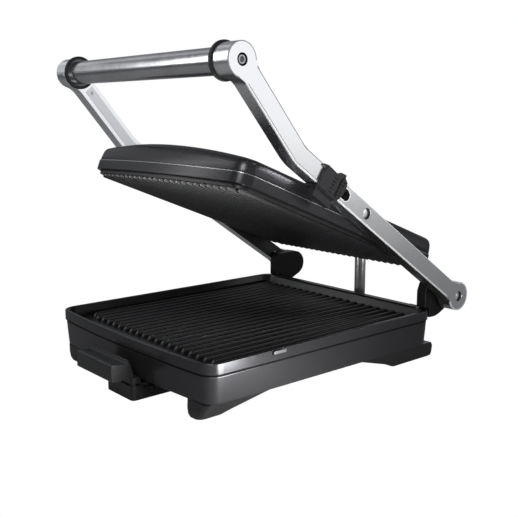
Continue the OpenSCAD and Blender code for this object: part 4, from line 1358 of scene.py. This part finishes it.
@dataclass
class LidAssembly:
    """Housing, band, upper plate and bushes of the lid."""

    rib_pitch: float = 10.8
    rib_inset: float = 6.0
    rib_root: float = -15.5

    def build(self) -> None:
        """Makes every piece of the lid."""
        self.housing()
        self.band()
        self.plate()
        bush = [(141, 4.1), (141, 6), (152.6, 6), (152.9, 5.7), (152.9, 4.1), (141, 4.1)]
        bushes = Form(in_lid).pair(bush, (S.lid_pivot_y, S.lid_pivot_z))
        dress(bushes.made("pivot_bush_pair"), Look.BUSH, Body.LID, "pivot_bushes")

    def housing(self) -> None:
        """Crowned shell with rounded shoulders."""
        edge = rings_of(lid_ring, [(6, 2.0), (5, 0.0), (0.5, 0.0), (0.1, 0.15), (0.0, 0.6)])
        # inset, share of the crown's height, and lift over it
        shoulder = [
            (0.4, 0.3, 0), (0.9, 0.52, 0), (1.5, 0.68, 0), (2.3, 0.8, 0), (3.3, 0.885, 0), (4.6, 0.945, 0),
            (6.2, 0.98, 0), (8.5, 1, 0), (12, 1, 0.1), (20, 1, 0.25), (34, 1, 0.35),
            *((inset, 1, 0.4) for inset in (54, 80, 105, 128, 143)),
        ]
        crown = [[(x, y, k * lid_top(x, y) + up) for x, y in lid_ring(i)] for i, k, up in shoulder]
        f = Form(in_lid).loft(edge + crown)
        dress(f.made("lid_shell"), Look.SATIN, Body.LID, "lid_housing", weighted=False)

    def band(self) -> None:
        """Band under the seam, standing out a little."""
        foot = -S.band_h
        section = [
            (-0.4, foot), (-0.85, foot + 0.2), (-1.0, foot + 0.7), (-1.0, -0.9), (-0.85, -0.45), (-0.5, -0.3),
            (2.5, -0.3), (2.5, foot),
        ]
        f = Form(in_lid).loft(rings_of(lid_ring, section), closed=True)
        dress(f.made("lid_band_ring"), Look.RIM, Body.LID, "lid_band")

    def plate(self) -> None:
        """Upper cooking plate with ribs that reach its front and rear edges."""
        section = [(4, -2), (4, -16.6), (4.4, -17.0), (7, -17.0), (7, -2)]
        f = Form(in_lid).loft(rings_of(lid_ring, section), closed=True)
        f.slab(lid_ring(5), -16.8, -13)
        dress(f.made("upper_plate_pan"), Look.NONSTICK, Body.LID, "upper_plate")
        ribs = Form(in_lid)
        for i in range(26):
            x = (i - 12.5) * self.rib_pitch
            inset = self.rib_inset if abs(x) < 128 else self.rib_inset + 5.0
            front, rear = inset - S.lid_bow * (1 - (x / 136) ** 2), S.lid_d - inset
            ends = ((front, 0.82), (front + 1.2, 1), (rear - 1.2, 1), (rear, 0.82))
            ribs.loft([self.rib_section(x, y, k) for y, k in ends])
        dress(ribs.made("upper_plate_ribs"), Look.NONSTICK, Body.LID)

    def rib_section(self, x: float, y: float, k: float) -> Ring:
        """Makes the section of a hanging rib.

        Args:
            x: Middle of the rib.
            y: Place of the section.
            k: Share of its full depth.

        Returns:
            Its points.
        """
        left = [(-3.2, 0.4), (-1.9, -4.2 * k), (-1.5, -4.8 * k), (-0.8, -5.0 * k)]
        right = [(-px, pz) for px, pz in reversed(left)]
        return [(x + px, y, self.rib_root + pz) for px, pz in left + right]


# ---- clip, tray, cables


@dataclass
class ClipAssembly:
    """Height clip that rides in the right arm's slot."""

    s0: float = 266.0
    s1: float = 305.5
    wall: float = 2.5
    pad: float = 1.3
    drop: float = 13.0

    def build(self) -> None:
        """Makes the clip and its pin."""
        lo = -S.arm_low - S.arm_w / 2
        x0 = S.arm_x + S.gap
        x1 = x0 + self.wall
        under, face = x1 - 0.3, x1 + self.pad
        s0, s1 = self.s0, self.s1
        outline = [
            (s0 + 5, lo - 3.2), (s1, lo - 3.2), (s1, 6.5), (s1 + 4, 8), (s1 + 3, 10), (s1 - 3, 11.8),
            (s0 + 20.5, 11.2), (s0 + 15, 15.3), (s0 + 7, 16.8), (s0 + 6.4, 13.3), (s0 + 1.6, 10.6), (s0, 4),
            (s0 + 1, -4), (s0 + 3.3, lo + 1.5),
        ]
        panel = [(s0 + 23, lo - 2.4), (s1 - 0.5, lo - 2.4), (s1 - 0.5, 6.2), (s1 - 3, 9.4), (s0 + 23, 9)]
        thumb = [
            (s0 + 4.4, lo), (s0 + 11, lo), (s0 + 11, 8.4), (s0 + 9, 12), (s0 + 6.5, 12), (s0 + 2.4, 9.6),
            (s0 + 0.8, 4), (s0 + 1.8, -4),
        ]
        f = Form(in_arm).pierced(outline, [], x0, x1)
        f.box((s0 + 5.1, lo - 3.1, S.arm_in - 0.95), (s1 - 2.1, lo - 0.3, x1 - 0.6))
        f.box((s0 + 6, lo - self.drop, S.arm_x - 10.2), (s1 - 3, lo - 3, S.arm_x - 1.2))
        f.round_over(0.5, angle=50)
        dress(f.made("clip_body"), Look.CLIP, Body.CLIP, "height_clip")
        raised = Form(in_arm)
        raised.pierced(panel, [], under, face).round_over(0.4, angle=50)
        raised.pierced(thumb, [], under, face)
        for i in range(5):
            p0 = lo + 0.8 + i * 4.1
            raised.box((s0 + 17, p0, under), (s0 + 24, p0 + 1.9, face - 0.05))
        # bars of the thumb pad
        for i in range(5):
            p0 = lo + 2.2 + i * 4.0
            raised.box((s0 + 4.6, p0, face - 0.3), (s0 + 10.6, p0 + 1.6, face))
        dress(raised.made("clip_relief"), Look.CLIP, Body.CLIP)
        rod = [(152.9, 0), (152.9, 5.7), (153.4, 6.2), (172.4, 6.2), (172.4, 0)]
        pin = Form(in_arm).lathe(rod, (S.slot_s1 - 0.5, 0), 40, "z")
        dress(pin.made("clip_pin_rod"), Look.CHROME, Body.CLIP, "clip_pin")


@dataclass
class TrayAssembly:
    """Pull-out drip tray."""

    x0: float = -12.0
    x1: float = 44.0
    y0: float = -203.0
    length: float = 110.0

    def block(self, inset: float, y0: float, y1: float) -> Outline:
        """Makes the tub's outline with rounded front corners.

        Args:
            inset: How far it is drawn in.
            y0: Front.
            y1: Rear.

        Returns:
            Its points.
        """
        r = 5 - inset
        a, b = self.x0 + inset, self.x1 - inset
        return [
            *circle_points(a + r, y0 + inset + r, r, 8, 180, 270),
            *circle_points(b - r, y0 + inset + r, r, 8, 270, 360),
            (b, y1 - inset), (a, y1 - inset),
        ]

    def build(self) -> None:
        """Makes the tub and the pull block."""
        x0, x1, y0, y1 = self.x0, self.x1, self.y0, self.y0 + self.length
        outer, inner = self.block(0, y0, y1), self.block(1.8, y0 + 11, y1)
        f = Form().loft([
            lift(self.block(0.9, y0, y1), 1.0), lift(self.block(0.25, y0, y1), 1.3), lift(outer, 2.2),
            lift(outer, 20), lift(inner, 20), lift(inner, 2.8),
        ])
        f.pierced([*outer[:-2], (x1, y0 + 10.6), (x0, y0 + 10.6)], [], 18, 27.4)
        for a, b in ((x0 - 4.5, x0 + 0.5), (x1 - 0.5, x1 + 4.5)):
            f.box((a, y0 + 14, 14), (b, y1, 15.8))
        dress(f.made("tray_tub"), Look.BLACK, Body.TRAY, "drip_tray")
        grip = [
            (-225.5, 27), (-198, 27), (-198.6, 29), (-204.5, 46), (-205.4, 49), (-207.6, 49.4),
            (-208.8, 45.6), (-212, 45.4), (-224, 46.8), (-226.2, 46), (-227, 43.5), (-227, 28.5),
        ]
        g = Form().slab(grip, -35.5, 42.2, "yzx").round_over(0.5, angle=40)
        dress(g.made("tray_grip_block"), Look.BLACK, Body.TRAY)


@dataclass
class CableAssembly:
    """The two cables between lid and base."""

    middle: float = 9.0
    half: float = 5.0
    radius: float = 4.0
    bend: float = 18.0
    low_bend: float = 14.0
    end_z: float = 37.0
    cut: int = 20

    def path(self, x: float) -> Ring:
        """Makes a cable's centre line, from inside the lid's rear wall to inside the base's.

        Args:
            x: Its place across the grill.

        Returns:
            Its points.
        """
        rear, up, r1, r2, end = S.lid_d + 2.5, 6.0, self.bend, self.low_bend, self.end_z
        _, yc, zc = in_lid((x, rear, up - r1))
        arc = circle_points(yc, zc, r1, 8, 90 - S.lid_tilt, 0)
        drop = [(yc + r1, zc + (end + r2 - zc) * i / 20) for i in range(1, 20)]
        turn = circle_points(yc + r1 - r2, end + r2, r2, 10, 0, -90)
        inside = [tuple(in_lid((x, rear - back, up))) for back in (8, 4)]
        return inside + [(x, y, z) for y, z in (*arc, *drop, *turn, (180.0, end), (172.0, end))]

    def build(self) -> None:
        """Makes both cables; each is two pieces that meet part way along its path."""
        for sign, word in ((-1, "left"), (1, "right")):
            path = self.path(self.middle + sign * self.half)
            upper = Form().pipe(path[: self.cut + 1], self.radius).made(f"cable_{word}_upper")
            lower = Form().pipe(path[self.cut :], self.radius).made(f"cable_{word}_lower")
            meet = [v * MM for v in path[self.cut]]
            dress(upper, Look.CABLE, None, weighted=False)
            [v * MM for v in path[2]]
            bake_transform(upper)
            dress(lower, Look.CABLE, None, weighted=False)
            [v * MM for v in path[-2]]
            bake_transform(lower)
            if sign < 0:
                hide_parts("lid_cables")


# ---- carried-over nodes


CARRIED = {
    "lower_element": Look.HEATER,
    "upper_element": Look.HEATER,
    "lower_reflector": Look.SHEET,
    "upper_reflector": Look.SHEET,
    "thermostat": Look.BLOCK,
    "handle_inserts": Look.INSERT,
    "base_screws": Look.SCREW,
    "tray_rails": Look.BLACK,
}


def dress_carried() -> None:
    """Gives every shown CAD node its procedural finish."""
    for name, look in CARRIED.items():
        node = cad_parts[name]
        node.data.materials.clear()
        node.data.materials.append(look.value.material())


# ---- studio


@dataclass(frozen=True)
class Softbox:
    """One white area light."""

    name: str
    place: Point3
    aim: Point3
    size: tuple[float, float]
    power: float

    def build(self) -> None:
        """Adds the light."""
        data = bpy.data.lights.new(self.name, "AREA")
        data.shape = "RECTANGLE"
        data.size, data.size_y = self.size
        data.energy = self.power
        lamp = bpy.data.objects.new(self.name, data)
        lamp.location = self.place
        lamp.rotation_euler = (Vector(self.aim) - Vector(self.place)).to_track_quat("-Z", "Y").to_euler()
        bpy.context.scene.collection.objects.link(lamp)


LIGHTS = (
    Softbox("high_near", (0.55, -1.0, 1.1), (0, -0.1, 0.3), (0.5, 0.5), 7.5),
    Softbox("low_near", (1.05, -0.95, 0.12), (0.1, -0.1, 0.15), (0.5, 0.2), 4.2),
    Softbox("right_panel", (1.02, 0.68, 0.43), (0.1, 0.0, 0.35), (1.0, 0.6), 1.75),
    Softbox("right_low", (0.85, 0.95, 0.06), (0.17, 0.1, 0.12), (0.8, 0.12), 0.1),
    Softbox("corner_strip", (0.31, -0.11, 0.03), (0.159, -0.13, 0.04), (0.14, 0.05), 0.9),
    Softbox("side_strip", (0.40, -0.08, 0.06), (0.159, -0.13, 0.06), (0.2, 0.08), 0.45),
    Softbox("left_box", (-0.97, -0.17, 1.21), (0, -0.1, 0.3), (0.35, 0.9), 0.3),
    Softbox("left_strip", (-0.97, -0.92, 0.78), (0, -0.1, 0.3), (0.12, 0.9), 1.9),
    Softbox("left_floor", (-0.62, -0.35, 0.5), (-0.45, -0.3, 0.0), (0.5, 0.4), 0.15),
    Softbox("rear_light", (-0.9, 1.3, 0.45), (0, 0, 0.1), (0.8, 0.5), 0.4),
)


@dataclass
class Studio:
    """Camera, floor, backdrop colour and lights."""

    lens: float = 54.9
    eye: Point3 = (0.7594, -0.6330, 0.3102)
    floor_half: float = 6000.0
    fill: float = 0.25

    def build(self) -> None:
        """Sets the whole studio up."""
        self.camera()
        self.floor()
        self.world()
        for light in LIGHTS:
            light.build()
        view = bpy.context.scene.view_settings
        view.view_transform, view.look, view.exposure = "Standard", "None", 0.0

    def camera(self) -> None:
        """Camera of the three-quarter view."""
        data = bpy.data.cameras.new("camera")
        data.sensor_width, data.sensor_fit = 36.0, "HORIZONTAL"
        data.lens = self.lens
        data.dof.use_dof = False
        data.clip_start, data.clip_end = 0.01, 50.0
        cam = bpy.data.objects.new("camera", data)
        right, up, back = (0.6499, 0.7600, 0.0), (-0.1355, 0.1159, 0.9839), (0.7478, -0.6395, 0.1783)
        turn = Matrix((right, up, back)).transposed()
        cam.matrix_world = Matrix.Translation(self.eye) @ turn.to_4x4()
        bpy.context.scene.collection.objects.link(cam)
        bpy.context.scene.camera = cam

    def floor(self) -> None:
        """Pale floor under the grill, white to the camera."""
        f, e = Form(), self.floor_half
        f.bm.faces.new(f.verts([(-e, -e, 0), (e, -e, 0), (e, e, 0), (-e, e, 0)]))
        floor = f.made("floor")
        g = ShaderGraph("floor_paper")
        g.shade(Base_Color=(0.36, 0.36, 0.36, 1), Roughness=0.8, Specular_IOR_Level=0.1)
        glow = g.node("ShaderNodeEmission", {"Color": (1, 1, 1, 1), "Strength": 1.0})
        g.split_camera(g.out.inputs["Surface"], g.bsdf, glow)
        floor.data.materials.append(g.material)

    def world(self) -> None:
        """White to the camera, dimmer to reflections."""
        world = bpy.data.worlds.new("studio")
        bpy.context.scene.world = world
        world.use_nodes = True
        g = NodeGraph(world.node_tree)
        out = g.node("ShaderNodeOutputWorld")
        seen = g.node("ShaderNodeBackground", {"Color": (1, 1, 1, 1)})
        lit = g.node("ShaderNodeBackground", {"Color": (0.9, 0.93, 1.0, 1), "Strength": self.fill})
        g.split_camera(out.inputs["Surface"], lit, seen)


def main() -> None:
    """Builds the whole scene round the frame."""
    logging.basicConfig(level=logging.INFO)
    for kind in (BaseAssembly, ArmsAssembly, LidAssembly, ClipAssembly, TrayAssembly, CableAssembly):
        kind().build()
        LOG.info("built %s", kind.__name__)
    dress_carried()
    Studio().build()


if __name__ == "__main__":
    main()
